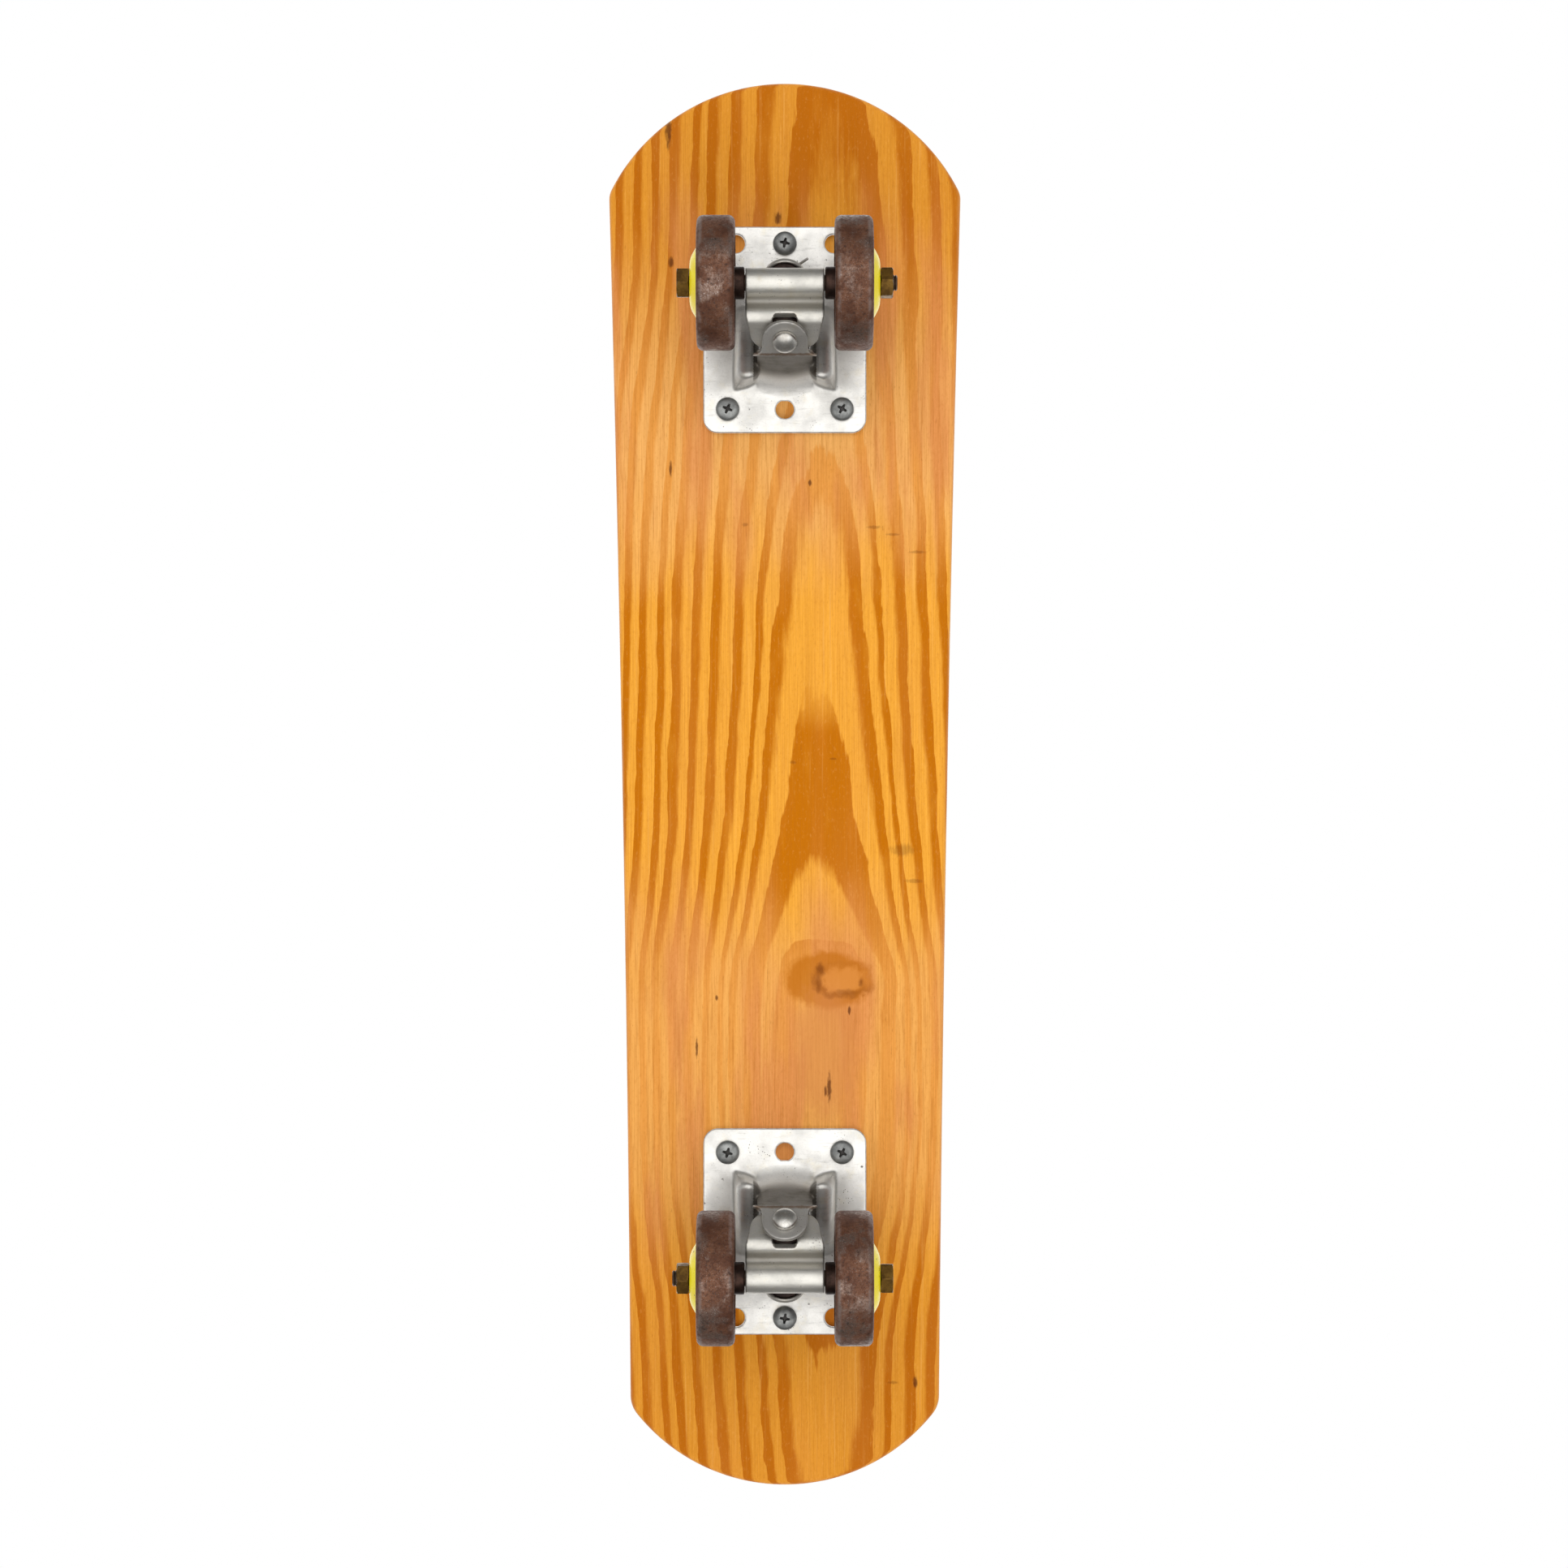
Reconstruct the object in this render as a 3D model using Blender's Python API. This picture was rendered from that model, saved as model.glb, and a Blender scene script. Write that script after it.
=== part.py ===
"""Vintage sidewalk skateboard: a varnished pine plank on two pressed-steel skate trucks.

Metres, +Z up, nose towards +X, wheels on Z = 0. The origin lies on the ground under the middle of the board.

Each truck is modelled in its own frame: origin on the underside of the deck above the axle, +X towards the
middle of the board, +Z up. What the king pin carries is modelled in the pin's frame: origin at the hole in
the pedestal tab, +Z down the pin from its head, +X away from the axle. Each wheel is modelled in a wheel
frame: origin at the middle of the tread, +Z outboard along the axle.
"""

import math

import bmesh
import bpy
from mathutils import Matrix, Vector

MM = 0.001

# Clearances
SEAT_GAP = 0.3 * MM
RUNNING_GAP = 0.3 * MM
CUTTER_SPARE = 1.0 * MM

# Deck
DECK_LENGTH = 565.0 * MM
DECK_THICKNESS = 19.0 * MM
DECK_EDGE_ROUND = 2.5 * MM
NOSE_WIDTH = 141.2 * MM
NOSE_WIDTH_FROM_TIP = 55.0 * MM
NOSE_ARC_RADIUS = 78.5 * MM
NOSE_CORNER_RADIUS = 9.0 * MM
MIDDLE_WIDTH = 131.0 * MM
TAIL_WIDTH = 124.6 * MM
TAIL_WIDTH_FROM_TIP = 45.0 * MM
TAIL_ARC_RADIUS = 76.5 * MM
TAIL_CORNER_RADIUS = 12.0 * MM

# Truck places
NOSE_TO_FRONT_AXLE = 85.5 * MM
TAIL_TO_REAR_AXLE = 88.3 * MM
AXLE_DROP = 40.0 * MM

# King pin line: the hole in the pedestal tab, seen from the axle, and the lean of the pin
TAB_INWARD_OF_AXLE = 23.1 * MM
TAB_BELOW_AXLE = 3.3 * MM
KING_PIN_LEAN = math.radians(42.5)

# Base plate
PLATE_LENGTH = 83.0 * MM
PLATE_WIDTH = 65.6 * MM
PLATE_SHEET = 2.0 * MM
PLATE_CORNER_RADIUS = 6.0 * MM
PLATE_OUTWARD_OF_AXLE = 27.3 * MM
PLATE_HOLE_RADIUS = 3.75 * MM
OUTER_HOLES_FROM_EDGE = 6.9 * MM
OUTER_HOLES_SPACING = 39.5 * MM
INNER_HOLES_FROM_EDGE = 9.5 * MM
INNER_HOLES_SPACING = 46.0 * MM

# Pedestal drawn up from the base plate
RIB_FOOT_INWARD = 38.8 * MM
RIB_FOOT_SLANT = 3.4 * MM
RIB_TOP_INWARD = 36.2 * MM
RIB_HEIGHT = 28.0 * MM
RIB_TOE_INWARD = 4.4 * MM
RIB_CREST_BULGE = 1.7 * MM
RIB_OUTER_HALF_WIDTH = 19.2 * MM
RIB_SIDE_DRAFT = 1.3 * MM
RIB_INNER_HALF_WIDTH = 9.8 * MM
RIB_FOOT_DEPTH = 8.0 * MM
RIB_ROUND = 4.2 * MM
WALL_FOOT_INWARD = 36.3 * MM
WALL_FOOT_FILLET = 7.0 * MM
TAB_EDGE_FROM_PIN = 7.0 * MM
TAB_RADIUS = 8.8 * MM
TAB_FLARE_RADIUS = 3.3 * MM
WINDOW_HALF_WIDTH = 7.6 * MM
WINDOW_TOE_MARGIN = 1.5 * MM
WINDOW_HEEL_MARGIN = 1.6 * MM
WINDOW_CORNER_RADIUS = 3.0 * MM

# Hanger
HANGER_SHEET = 2.0 * MM
HANGER_WIDTH = 31.0 * MM
AXLE_TUBE_RADIUS = 5.9 * MM
RIDGE_BEND_RADIUS = 3.0 * MM
VALLEY_RADIUS = 1.7 * MM
WALL_FROM_TUBE = 0.25 * MM
TUBE_WRAP_ANGLE = math.radians(52)
TONGUE_TIP_FROM_PIN = 7.3 * MM
TONGUE_TIP_WIDTH = 26.8 * MM
TONGUE_CORNER_RADIUS = 6.5 * MM
TONGUE_TAPER_START = 8.0 * MM
TONGUE_HOLE_RADIUS = 4.7 * MM
TONGUE_HOLE_REACH = 8.6 * MM
TONGUE_HOLE_CORNER_RADIUS = 2.4 * MM

# King pin and what it carries
KING_PIN_RADIUS = 3.2 * MM
KING_PIN_HEAD_RADIUS = 4.9 * MM
KING_PIN_HEAD_HEIGHT = 3.3 * MM
KING_PIN_END_SPARE = 1.7 * MM
KING_PIN_CHAMFER = 0.6 * MM
UPPER_CUSHION_THICKNESS = 2.2 * MM
UPPER_CUSHION_RADIUS = 6.8 * MM
LOWER_CUSHION_LENGTH = 35.6 * MM
LOWER_CUSHION_TOP_RADIUS = 5.8 * MM
LOWER_CUSHION_BELLY_RADIUS = 7.4 * MM
LOWER_CUSHION_FOOT_RADIUS = 7.0 * MM
LOWER_CUSHION_BELLY_SHARE = 0.75
CUSHION_EDGE_ROUND = 0.5 * MM
CUP_WASHER_RADIUS = 8.6 * MM
CUP_WASHER_SHEET = 1.2 * MM
CUP_WASHER_RIM = 2.6 * MM
FLAT_WASHER_RADIUS = 5.8 * MM
FLAT_WASHER_THICKNESS = 1.2 * MM
COTTER_RADIUS = 0.85 * MM
COTTER_EYE_RADIUS = 1.9 * MM
COTTER_EYE_WIRE_RADIUS = 0.52 * MM
COTTER_EYE_REACH = 7.6 * MM
COTTER_LEG_RADIUS = 0.53 * MM
COTTER_LEGS_START = 4.4 * MM
COTTER_LONG_LEG_REACH = 10.9 * MM
COTTER_LONG_LEG_SPREAD = 2.2 * MM
COTTER_SHORT_LEG_REACH = 7.4 * MM
COTTER_SHORT_LEG_SPREAD = 1.5 * MM
COTTER_TURNS = {"front": math.radians(159), "rear": 0.0}

# Wood screws
SCREW_HEAD_RADIUS = 4.75 * MM
SCREW_HEAD_HEIGHT = 2.9 * MM
SCREW_HEAD_CROWN = 1.8 * MM
SCREW_SHANK_RADIUS = 2.2 * MM
SCREW_LENGTH = 15.9 * MM
SCREW_POINT_LENGTH = 4.0 * MM
SCREW_CROSS_LENGTH = 5.0 * MM
SCREW_CROSS_WIDTH = 1.15 * MM
SCREW_CROSS_DEPTH = 1.5 * MM
SCREW_TURNS = {
    "front": {"outer": 12, "inner_left": 22, "inner_right": 30},
    "rear": {"outer": 8, "inner_left": 27, "inner_right": 15},
}

# Axle and nuts
AXLE_RADIUS = 3.175 * MM
AXLE_CHAMFER = 0.6 * MM
NUT_ACROSS_FLATS = 11.1 * MM
NUT_THICKNESS = 4.8 * MM
NUT_CHAMFER = 0.7 * MM
NUT_CHAMFER_DROP = 1.2 * MM
NUT_TURN = math.radians(25)
AXLE_PAST_LONG_END_NUT = 1.7 * MM
AXLE_SHORT_OF_NUT_FACE = 0.4 * MM

# Wheels
WHEEL_RADIUS = 26.5 * MM
WHEEL_WIDTH = 15.0 * MM
WHEEL_TRACK = 54.2 * MM
TYRE_SHELL = 1.7 * MM
TYRE_SHOULDER_RADIUS = 2.6 * MM
TYRE_OPENING_RADIUS = 20.2 * MM
DISC_SHEET = 1.5 * MM
DISC_RIM_WIDTH = 8.4 * MM
DISC_DISH = 1.6 * MM
HUB_RADIUS = 9.8 * MM
HUB_LENGTH = 13.4 * MM
HUB_STOP_RADIUS = 5.7 * MM
HUB_STOP_LENGTH = 4.6 * MM
CAP_SHEET = 0.8 * MM
CAP_BULGE = 2.8 * MM
CAP_FLAT_RADIUS = 8.0 * MM
CAP_SHOULDER_RADIUS = 15.6 * MM
CAP_FOOT_RADIUS = 17.2 * MM
CAP_SEAT_DEPTH = 0.9 * MM
CAP_HOLE_RADIUS = 5.1 * MM

# Loose-ball bearings
BALL_COUNT = 6
BALL_RADIUS = 1.6 * MM
BALL_CIRCLE_RADIUS = 6.3 * MM
BALL_OFFSET = 4.4 * MM
CAGE_WIDTH = 1.0 * MM
CAGE_THICKNESS = 0.9 * MM
CONE_FLANGE_RADIUS = 6.4 * MM
CONE_EDGE_ROUND = 0.5 * MM
CONE_RACE_SLOPE = 0.4 * MM
CONE_NOSE_LENGTH = 1.8 * MM
CONE_NOSE_RADIUS = 4.7 * MM

# Facets round a full turn
WHEEL_STEPS = 24
CAP_STEPS = 18
HUB_STEPS = 12
PIN_STEPS = 10
SMALL_STEPS = 8

# Worked out from the sizes above
DECK_UNDERSIDE = AXLE_DROP + WHEEL_RADIUS
PLATE_TOP = -SEAT_GAP
PLATE_FACE = PLATE_TOP - PLATE_SHEET
TAB_DROP = AXLE_DROP + TAB_BELOW_AXLE
AXLE_IN_PIN_X = (
    -TAB_INWARD_OF_AXLE * math.cos(KING_PIN_LEAN) + TAB_BELOW_AXLE * math.sin(KING_PIN_LEAN)
)
AXLE_IN_PIN_Z = (
    TAB_INWARD_OF_AXLE * math.sin(KING_PIN_LEAN) + TAB_BELOW_AXLE * math.cos(KING_PIN_LEAN)
)
PIN_HOLE_RADIUS = KING_PIN_RADIUS + RUNNING_GAP
UPPER_CUSHION_TOP = PLATE_SHEET + SEAT_GAP
TONGUE_FACE = UPPER_CUSHION_TOP + UPPER_CUSHION_THICKNESS + SEAT_GAP
LOWER_CUSHION_TOP = TONGUE_FACE + HANGER_SHEET + SEAT_GAP
CUP_WASHER_FACE = LOWER_CUSHION_TOP + LOWER_CUSHION_LENGTH + SEAT_GAP
FLAT_WASHER_FACE = CUP_WASHER_FACE + CUP_WASHER_SHEET + SEAT_GAP
COTTER_LINE = FLAT_WASHER_FACE + FLAT_WASHER_THICKNESS + SEAT_GAP + COTTER_RADIUS
KING_PIN_END = COTTER_LINE + COTTER_RADIUS + KING_PIN_END_SPARE
AXLE_HOLE_RADIUS = AXLE_RADIUS + RUNNING_GAP
HALF_TREAD = WHEEL_WIDTH / 2
CAP_FACE = HALF_TREAD + CAP_BULGE
NUT_FACE = CAP_FACE + SEAT_GAP
TUBE_END_IN_WHEEL = HANGER_WIDTH / 2 - WHEEL_TRACK / 2
BALL_INNER_RACE = BALL_CIRCLE_RADIUS - BALL_RADIUS - RUNNING_GAP
BALL_OUTER_RACE = BALL_CIRCLE_RADIUS + BALL_RADIUS + RUNNING_GAP
BALL_SHOULDER = BALL_OFFSET + BALL_RADIUS + RUNNING_GAP


def material(name, colour, roughness, metallic=0.0):
    """A Principled material of one plain colour."""
    made = bpy.data.materials.new(name)
    made.use_nodes = True
    shader = made.node_tree.nodes["Principled BSDF"]
    shader.inputs["Base Color"].default_value = (*colour, 1.0)
    shader.inputs["Roughness"].default_value = roughness
    shader.inputs["Metallic"].default_value = metallic
    made.diffuse_color = (*colour, 1.0)
    return made


def make_materials():
    """The finishes of the board, by name."""
    return {
        "pine": material("varnished_pine", (0.66, 0.33, 0.10), 0.35),
        "plate": material("silver_painted_steel", (0.62, 0.62, 0.60), 0.42, 0.7),
        "hanger": material("hanger_steel", (0.56, 0.56, 0.53), 0.40, 0.8),
        "zinc": material("grey_zinc", (0.32, 0.33, 0.33), 0.45, 0.9),
        "pin": material("pin_steel", (0.58, 0.57, 0.53), 0.35, 0.9),
        "axle": material("axle_steel", (0.24, 0.20, 0.16), 0.45, 0.9),
        "nut": material("brown_plated_nut", (0.20, 0.14, 0.08), 0.45, 0.8),
        "cone": material("dark_cone_steel", (0.12, 0.08, 0.06), 0.40, 0.8),
        "tyre": material("rusty_steel", (0.20, 0.12, 0.09), 0.50, 0.6),
        "disc": material("dark_wheel_steel", (0.10, 0.08, 0.07), 0.55, 0.7),
        "cap": material("yellow_enamel", (0.85, 0.75, 0.02), 0.35),
        "ball": material("ball_steel", (0.60, 0.60, 0.60), 0.20, 1.0),
        "rubber": material("black_rubber", (0.05, 0.035, 0.03), 0.75),
    }


def arc(x, y, radius, start, end, steps):
    """Points along an arc, both ends included. Angles are in degrees, anticlockwise from +X."""
    angles = [math.radians(start + (end - start) * i / steps) for i in range(steps + 1)]
    return [(x + radius * math.cos(a), y + radius * math.sin(a)) for a in angles]


def mirrored_outline(half):
    """A closed outline from its half on the +Y side, whose ends may lie on the X axis."""
    other = [(x, -y) for x, y in reversed(half) if abs(y) > 1e-7]
    return half + other


def empty(name, place, parent=None):
    """An empty that carries pieces at a place given as a matrix."""
    made = bpy.data.objects.new(name, None)
    made.empty_display_size = 0.01
    bpy.context.scene.collection.objects.link(made)
    made.parent = parent
    made.matrix_local = place
    return made


def piece(name, mesh, finish, parent, place=None):
    """One sub-part: a mesh object with its own finish, carried by an empty."""
    made = bpy.data.objects.new(name, mesh)
    bpy.context.scene.collection.objects.link(made)
    if not mesh.materials:
        mesh.materials.append(finish)
    made.parent = parent
    if place is not None:
        made.matrix_local = place
    return made


def finished(bm, name, sharp_degrees=38):
    """The mesh of a bmesh, facing out and shaded smooth, with its real edges kept sharp."""
    bmesh.ops.recalc_face_normals(bm, faces=bm.faces)
    mesh = bpy.data.meshes.new(name)
    bm.to_mesh(mesh)
    bm.free()
    mesh.shade_smooth()
    mesh.set_sharp_from_angle(angle=math.radians(sharp_degrees))
    return mesh


def turned(profile, steps, solid_core=False):
    """A solid turned about Z from (radius, height) points: a closed loop, or a line from axis to axis."""
    bm = bmesh.new()
    verts = [bm.verts.new((radius, 0, height)) for radius, height in profile]
    edges = [bm.edges.new(pair) for pair in zip(verts, verts[1:])]
    if not solid_core:
        edges.append(bm.edges.new((verts[-1], verts[0])))
    bmesh.ops.spin(
        bm,
        geom=verts + edges,
        cent=(0, 0, 0),
        axis=(0, 0, 1),
        angle=2 * math.pi,
        steps=steps,
        use_merge=True,
    )
    bmesh.ops.remove_doubles(bm, verts=bm.verts, dist=1e-6)
    bmesh.ops.recalc_face_normals(bm, faces=bm.faces)
    return bm


def extruded(outline, low, high, along):
    """A prism: an outline of (x, y) points drawn along Z, or of (x, z) points drawn along Y."""
    bm = bmesh.new()
    if along == "Z":
        corners = [(a, b, low) for a, b in outline]
        shift = Vector((0, 0, high - low))
    else:
        corners = [(a, low, b) for a, b in outline]
        shift = Vector((0, high - low, 0))
    face = bm.faces.new([bm.verts.new(corner) for corner in corners])
    moved = bmesh.ops.extrude_face_region(bm, geom=[face])["geom"]
    lifted = [item for item in moved if isinstance(item, bmesh.types.BMVert)]
    bmesh.ops.translate(bm, vec=shift, verts=lifted)
    bmesh.ops.recalc_face_normals(bm, faces=bm.faces)
    return bm


def rod(radius, low, high, steps, place=None):
    """A plain cylinder along Z, or along the Z of a place."""
    bm = bmesh.new()
    middle = Matrix.Translation((0, 0, (low + high) / 2))
    bmesh.ops.create_cone(
        bm,
        cap_ends=True,
        segments=steps,
        radius1=radius,
        radius2=radius,
        depth=high - low,
        matrix=middle if place is None else place @ middle,
    )
    return bm


def joined(shapes):
    """Several separate shapes in one bmesh."""
    whole = shapes[0]
    for shape in shapes[1:]:
        held = bpy.data.meshes.new("joined_shape")
        shape.to_mesh(held)
        shape.free()
        whole.from_mesh(held)
        bpy.data.meshes.remove(held)
    return whole


def carved(bm, name, tools, sharp_degrees=38):
    """The mesh of a bmesh after exact Booleans with (operation, shape) tools, in order."""
    scene = bpy.context.scene.collection
    target = bpy.data.objects.new(name, finished(bm, name))
    scene.objects.link(target)
    helpers = []
    for operation, shape in tools:
        helper = bpy.data.objects.new(name + "_tool", finished(shape, name + "_tool"))
        helper.hide_render = True
        helper.display_type = "WIRE"
        scene.objects.link(helper)
        helpers.append(helper)
        step = target.modifiers.new(operation.lower(), "BOOLEAN")
        step.operation = operation
        step.solver = "EXACT"
        step.object = helper
    bpy.context.view_layer.update()
    graph = bpy.context.evaluated_depsgraph_get()
    mesh = bpy.data.meshes.new_from_object(target.evaluated_get(graph))
    mesh.name = name
    for used in [target, *helpers]:
        bpy.data.objects.remove(used)
    mesh.materials.clear()
    mesh.shade_smooth()
    mesh.set_sharp_from_angle(angle=math.radians(sharp_degrees))
    return mesh


# Deck


def side_half_width(x):
    """Half the deck's width at x: one shallow curve through the nose, middle and tail widths."""
    stations = (
        (DECK_LENGTH / 2 - NOSE_WIDTH_FROM_TIP, NOSE_WIDTH / 2),
        (0.0, MIDDLE_WIDTH / 2),
        (TAIL_WIDTH_FROM_TIP - DECK_LENGTH / 2, TAIL_WIDTH / 2),
    )
    total = 0.0
    for here, width in stations:
        share = width
        for other, _ in stations:
            if other != here:
                share *= (x - other) / (here - other)
        total += share
    return total


def corner_centre(arc_centre, arc_radius, corner_radius, end):
    """Centre of the fillet between an end arc and the side. End is 1 at the nose and -1 at the tail."""
    x = arc_centre
    for _ in range(12):
        y = side_half_width(x) - corner_radius
        x = arc_centre + end * math.sqrt(max((arc_radius - corner_radius) ** 2 - y * y, 0.0))
    return x, side_half_width(x) - corner_radius


def deck_outline():
    """The plank's outline, anticlockwise from the tip of the nose."""
    nose_centre = DECK_LENGTH / 2 - NOSE_ARC_RADIUS
    tail_centre = TAIL_ARC_RADIUS - DECK_LENGTH / 2
    nose_x, nose_y = corner_centre(nose_centre, NOSE_ARC_RADIUS, NOSE_CORNER_RADIUS, 1)
    tail_x, tail_y = corner_centre(tail_centre, TAIL_ARC_RADIUS, TAIL_CORNER_RADIUS, -1)
    nose_turn = math.degrees(math.atan2(nose_y, nose_x - nose_centre))
    tail_turn = math.degrees(math.atan2(tail_y, tail_x - tail_centre))
    side_steps = 4
    half = arc(nose_centre, 0, NOSE_ARC_RADIUS, 0, nose_turn, 8)
    half += arc(nose_x, nose_y, NOSE_CORNER_RADIUS, nose_turn, 90, 3)[1:]
    for i in range(1, side_steps):
        x = nose_x + (tail_x - nose_x) * i / side_steps
        half.append((x, side_half_width(x)))
    half += arc(tail_x, tail_y, TAIL_CORNER_RADIUS, 90, tail_turn, 3)
    half += arc(tail_centre, 0, TAIL_ARC_RADIUS, tail_turn, 180, 7)[1:]
    return mirrored_outline(half)


def screw_places():
    """Where the screws and the empty holes of a plate lie, in the truck's frame."""
    outer = OUTER_HOLES_FROM_EDGE - PLATE_OUTWARD_OF_AXLE
    inner = PLATE_LENGTH - PLATE_OUTWARD_OF_AXLE - INNER_HOLES_FROM_EDGE
    screws = {
        "outer": (outer, 0.0),
        "inner_left": (inner, INNER_HOLES_SPACING / 2),
        "inner_right": (inner, -INNER_HOLES_SPACING / 2),
    }
    empty_holes = [
        (outer, OUTER_HOLES_SPACING / 2),
        (outer, -OUTER_HOLES_SPACING / 2),
        (inner, 0.0),
    ]
    return screws, empty_holes


def deck_mesh(truck_places):
    """The plank with its rounded edges and a pilot hole for each screw."""
    bm = extruded(deck_outline(), DECK_UNDERSIDE, DECK_UNDERSIDE + DECK_THICKNESS, "Z")
    flat = [edge for edge in bm.edges if abs(edge.verts[0].co.z - edge.verts[1].co.z) < 1e-6]
    bmesh.ops.bevel(
        bm,
        geom=flat,
        offset=DECK_EDGE_ROUND,
        segments=2,
        profile=0.5,
        affect="EDGES",
        material=-1,
    )
    screws, _ = screw_places()
    bite = SCREW_LENGTH - PLATE_SHEET + SEAT_GAP
    pilots = []
    for place in truck_places:
        for x, y in screws.values():
            at = place @ Matrix.Translation((x, y, 0))
            pilots.append(rod(SCREW_SHANK_RADIUS + RUNNING_GAP, -CUTTER_SPARE, bite, SMALL_STEPS, at))
    return carved(bm, "deck", [("DIFFERENCE", joined(pilots))])


# Base plate


def inset(outline, distance):
    """A convex clockwise outline moved inwards by a distance."""
    moved = []
    count = len(outline)
    for i in range(count):
        before, here, after = (Vector(outline[(i + k) % count]) for k in (-1, 0, 1))
        first = (here - before).normalized()
        second = (after - here).normalized()
        inward = Vector((first.y, -first.x)) + Vector((second.y, -second.x))
        moved.append(tuple(here + inward * distance / (1 + first.dot(second))))
    return moved


def rib_outline():
    """A drawn rib's side view, with its foot well inside the deck so that the sheet's plane cuts it."""
    buried = RIB_FOOT_DEPTH
    toe = Vector((RIB_TOE_INWARD, PLATE_FACE))
    top = Vector((RIB_TOP_INWARD, -RIB_HEIGHT))
    crest = top - toe
    bulge = toe + crest / 2 + Vector((crest.y, -crest.x)).normalized() * RIB_CREST_BULGE
    start = bulge - toe
    lean = (RIB_FOOT_INWARD - RIB_TOP_INWARD) / (RIB_HEIGHT + PLATE_FACE)
    foot = RIB_FOOT_INWARD + (buried - PLATE_FACE) * lean
    behind = toe.x + start.x / start.y * (buried - PLATE_FACE)
    return [(behind, buried), (foot, buried), tuple(top), tuple(bulge)]


def rib_form(sheet, open_to):
    """A drawn rib as a solid, set in by the sheet's thickness, down to a height in the plate."""
    low = RIB_INNER_HALF_WIDTH + sheet
    high = RIB_OUTER_HALF_WIDTH - sheet
    bm = extruded(inset(rib_outline(), sheet), low, high, "Y")
    spread = (RIB_HEIGHT + RIB_FOOT_DEPTH) / (RIB_HEIGHT + PLATE_FACE)
    for vert in bm.verts:
        at_foot = vert.co.z > 0
        at_heel = vert.co.x > RIB_TOP_INWARD - 2 * sheet
        outside = vert.co.y > (low + high) / 2
        if at_foot and outside:
            vert.co.y += RIB_SIDE_DRAFT * spread
        elif at_foot and at_heel:
            vert.co.x -= RIB_FOOT_SLANT * spread
    rounded = [edge for edge in bm.edges if min(v.co.z for v in edge.verts) < 0]
    bmesh.ops.bevel(
        bm,
        geom=rounded,
        offset=RIB_ROUND - sheet,
        segments=2 if sheet else 3,
        profile=0.5,
        affect="EDGES",
        material=-1,
    )
    cut = bmesh.ops.bisect_plane(
        bm,
        geom=bm.verts[:] + bm.edges[:] + bm.faces[:],
        plane_co=(0, 0, open_to),
        plane_no=(0, 0, 1),
        clear_outer=True,
    )
    rim = [item for item in cut["geom_cut"] if isinstance(item, bmesh.types.BMEdge)]
    bmesh.ops.edgeloop_fill(bm, edges=rim)
    bmesh.ops.recalc_face_normals(bm, faces=bm.faces)
    return bm


def on_both_sides(build):
    """A shape and its mirror image across the truck's middle plane."""
    other = build()
    bmesh.ops.scale(other, vec=(1, -1, 1), verts=other.verts)
    bmesh.ops.reverse_faces(other, faces=other.faces)
    return joined([build(), other])


def pin_to_truck(x, z):
    """A point of the pin's middle plane, as (x, z) in the truck's frame."""
    spot = pin_place() @ Vector((x, 0, z))
    return spot.x, spot.z


def pedestal_wall():
    """The wall between the ribs: a wide fillet off the plate, then a straight rise to the tab's edge."""
    edge_x, edge_z = pin_to_truck(TAB_EDGE_FROM_PIN, 0)
    rise = Vector((edge_x - WALL_FOOT_INWARD, edge_z - PLATE_FACE))
    steep = math.degrees(math.atan2(-rise.y, -rise.x))
    centre_x = WALL_FOOT_INWARD + WALL_FOOT_FILLET * math.tan(math.radians(steep / 2))
    centre_z = PLATE_FACE - WALL_FOOT_FILLET
    fillet = arc(centre_x, centre_z, WALL_FOOT_FILLET, 90, 90 + steep, 4)
    back = Vector((rise.y, -rise.x)).normalized() * PLATE_SHEET
    back_top = (edge_x + back.x, edge_z + back.y)
    drop = (PLATE_TOP - PLATE_SHEET / 2 - back_top[1]) / -rise.y
    back_foot = (back_top[0] - rise.x * drop, PLATE_TOP - PLATE_SHEET / 2)
    front_foot = (centre_x, PLATE_TOP - PLATE_SHEET / 2)
    outline = [(edge_x, edge_z), back_top, back_foot, front_foot] + fillet
    half_width = RIB_INNER_HALF_WIDTH + PLATE_SHEET / 2
    return extruded(outline, -half_width, half_width, "Y")


def pedestal_tab():
    """The D-shaped tab that holds the king pin's head, flared where it bends off the wall."""
    flare_start = TAB_RADIUS + TAB_FLARE_RADIUS
    half = arc(0, 0, TAB_RADIUS, 180, 90, 7)
    half += arc(
        TAB_EDGE_FROM_PIN - TAB_FLARE_RADIUS, flare_start, TAB_FLARE_RADIUS, -90, 0, 3
    )
    bm = extruded(mirrored_outline(half), 0, PLATE_SHEET, "Z")
    bmesh.ops.transform(bm, matrix=pin_place(), verts=bm.verts)
    return bm


def plate_window():
    """The opening that the lanced metal of the wall and tab leaves in the plate."""
    toe = RIB_TOE_INWARD + WINDOW_TOE_MARGIN
    heel = WALL_FOOT_INWARD - PLATE_SHEET - WINDOW_HEEL_MARGIN
    r = WINDOW_CORNER_RADIUS
    half = arc(toe + r, WINDOW_HALF_WIDTH - r, r, 180, 90, 3)
    half += arc(heel - r, WINDOW_HALF_WIDTH - r, r, 90, 0, 3)
    low = PLATE_FACE - CUTTER_SPARE
    return extruded(mirrored_outline(half), low, PLATE_TOP + CUTTER_SPARE, "Z")


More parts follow.
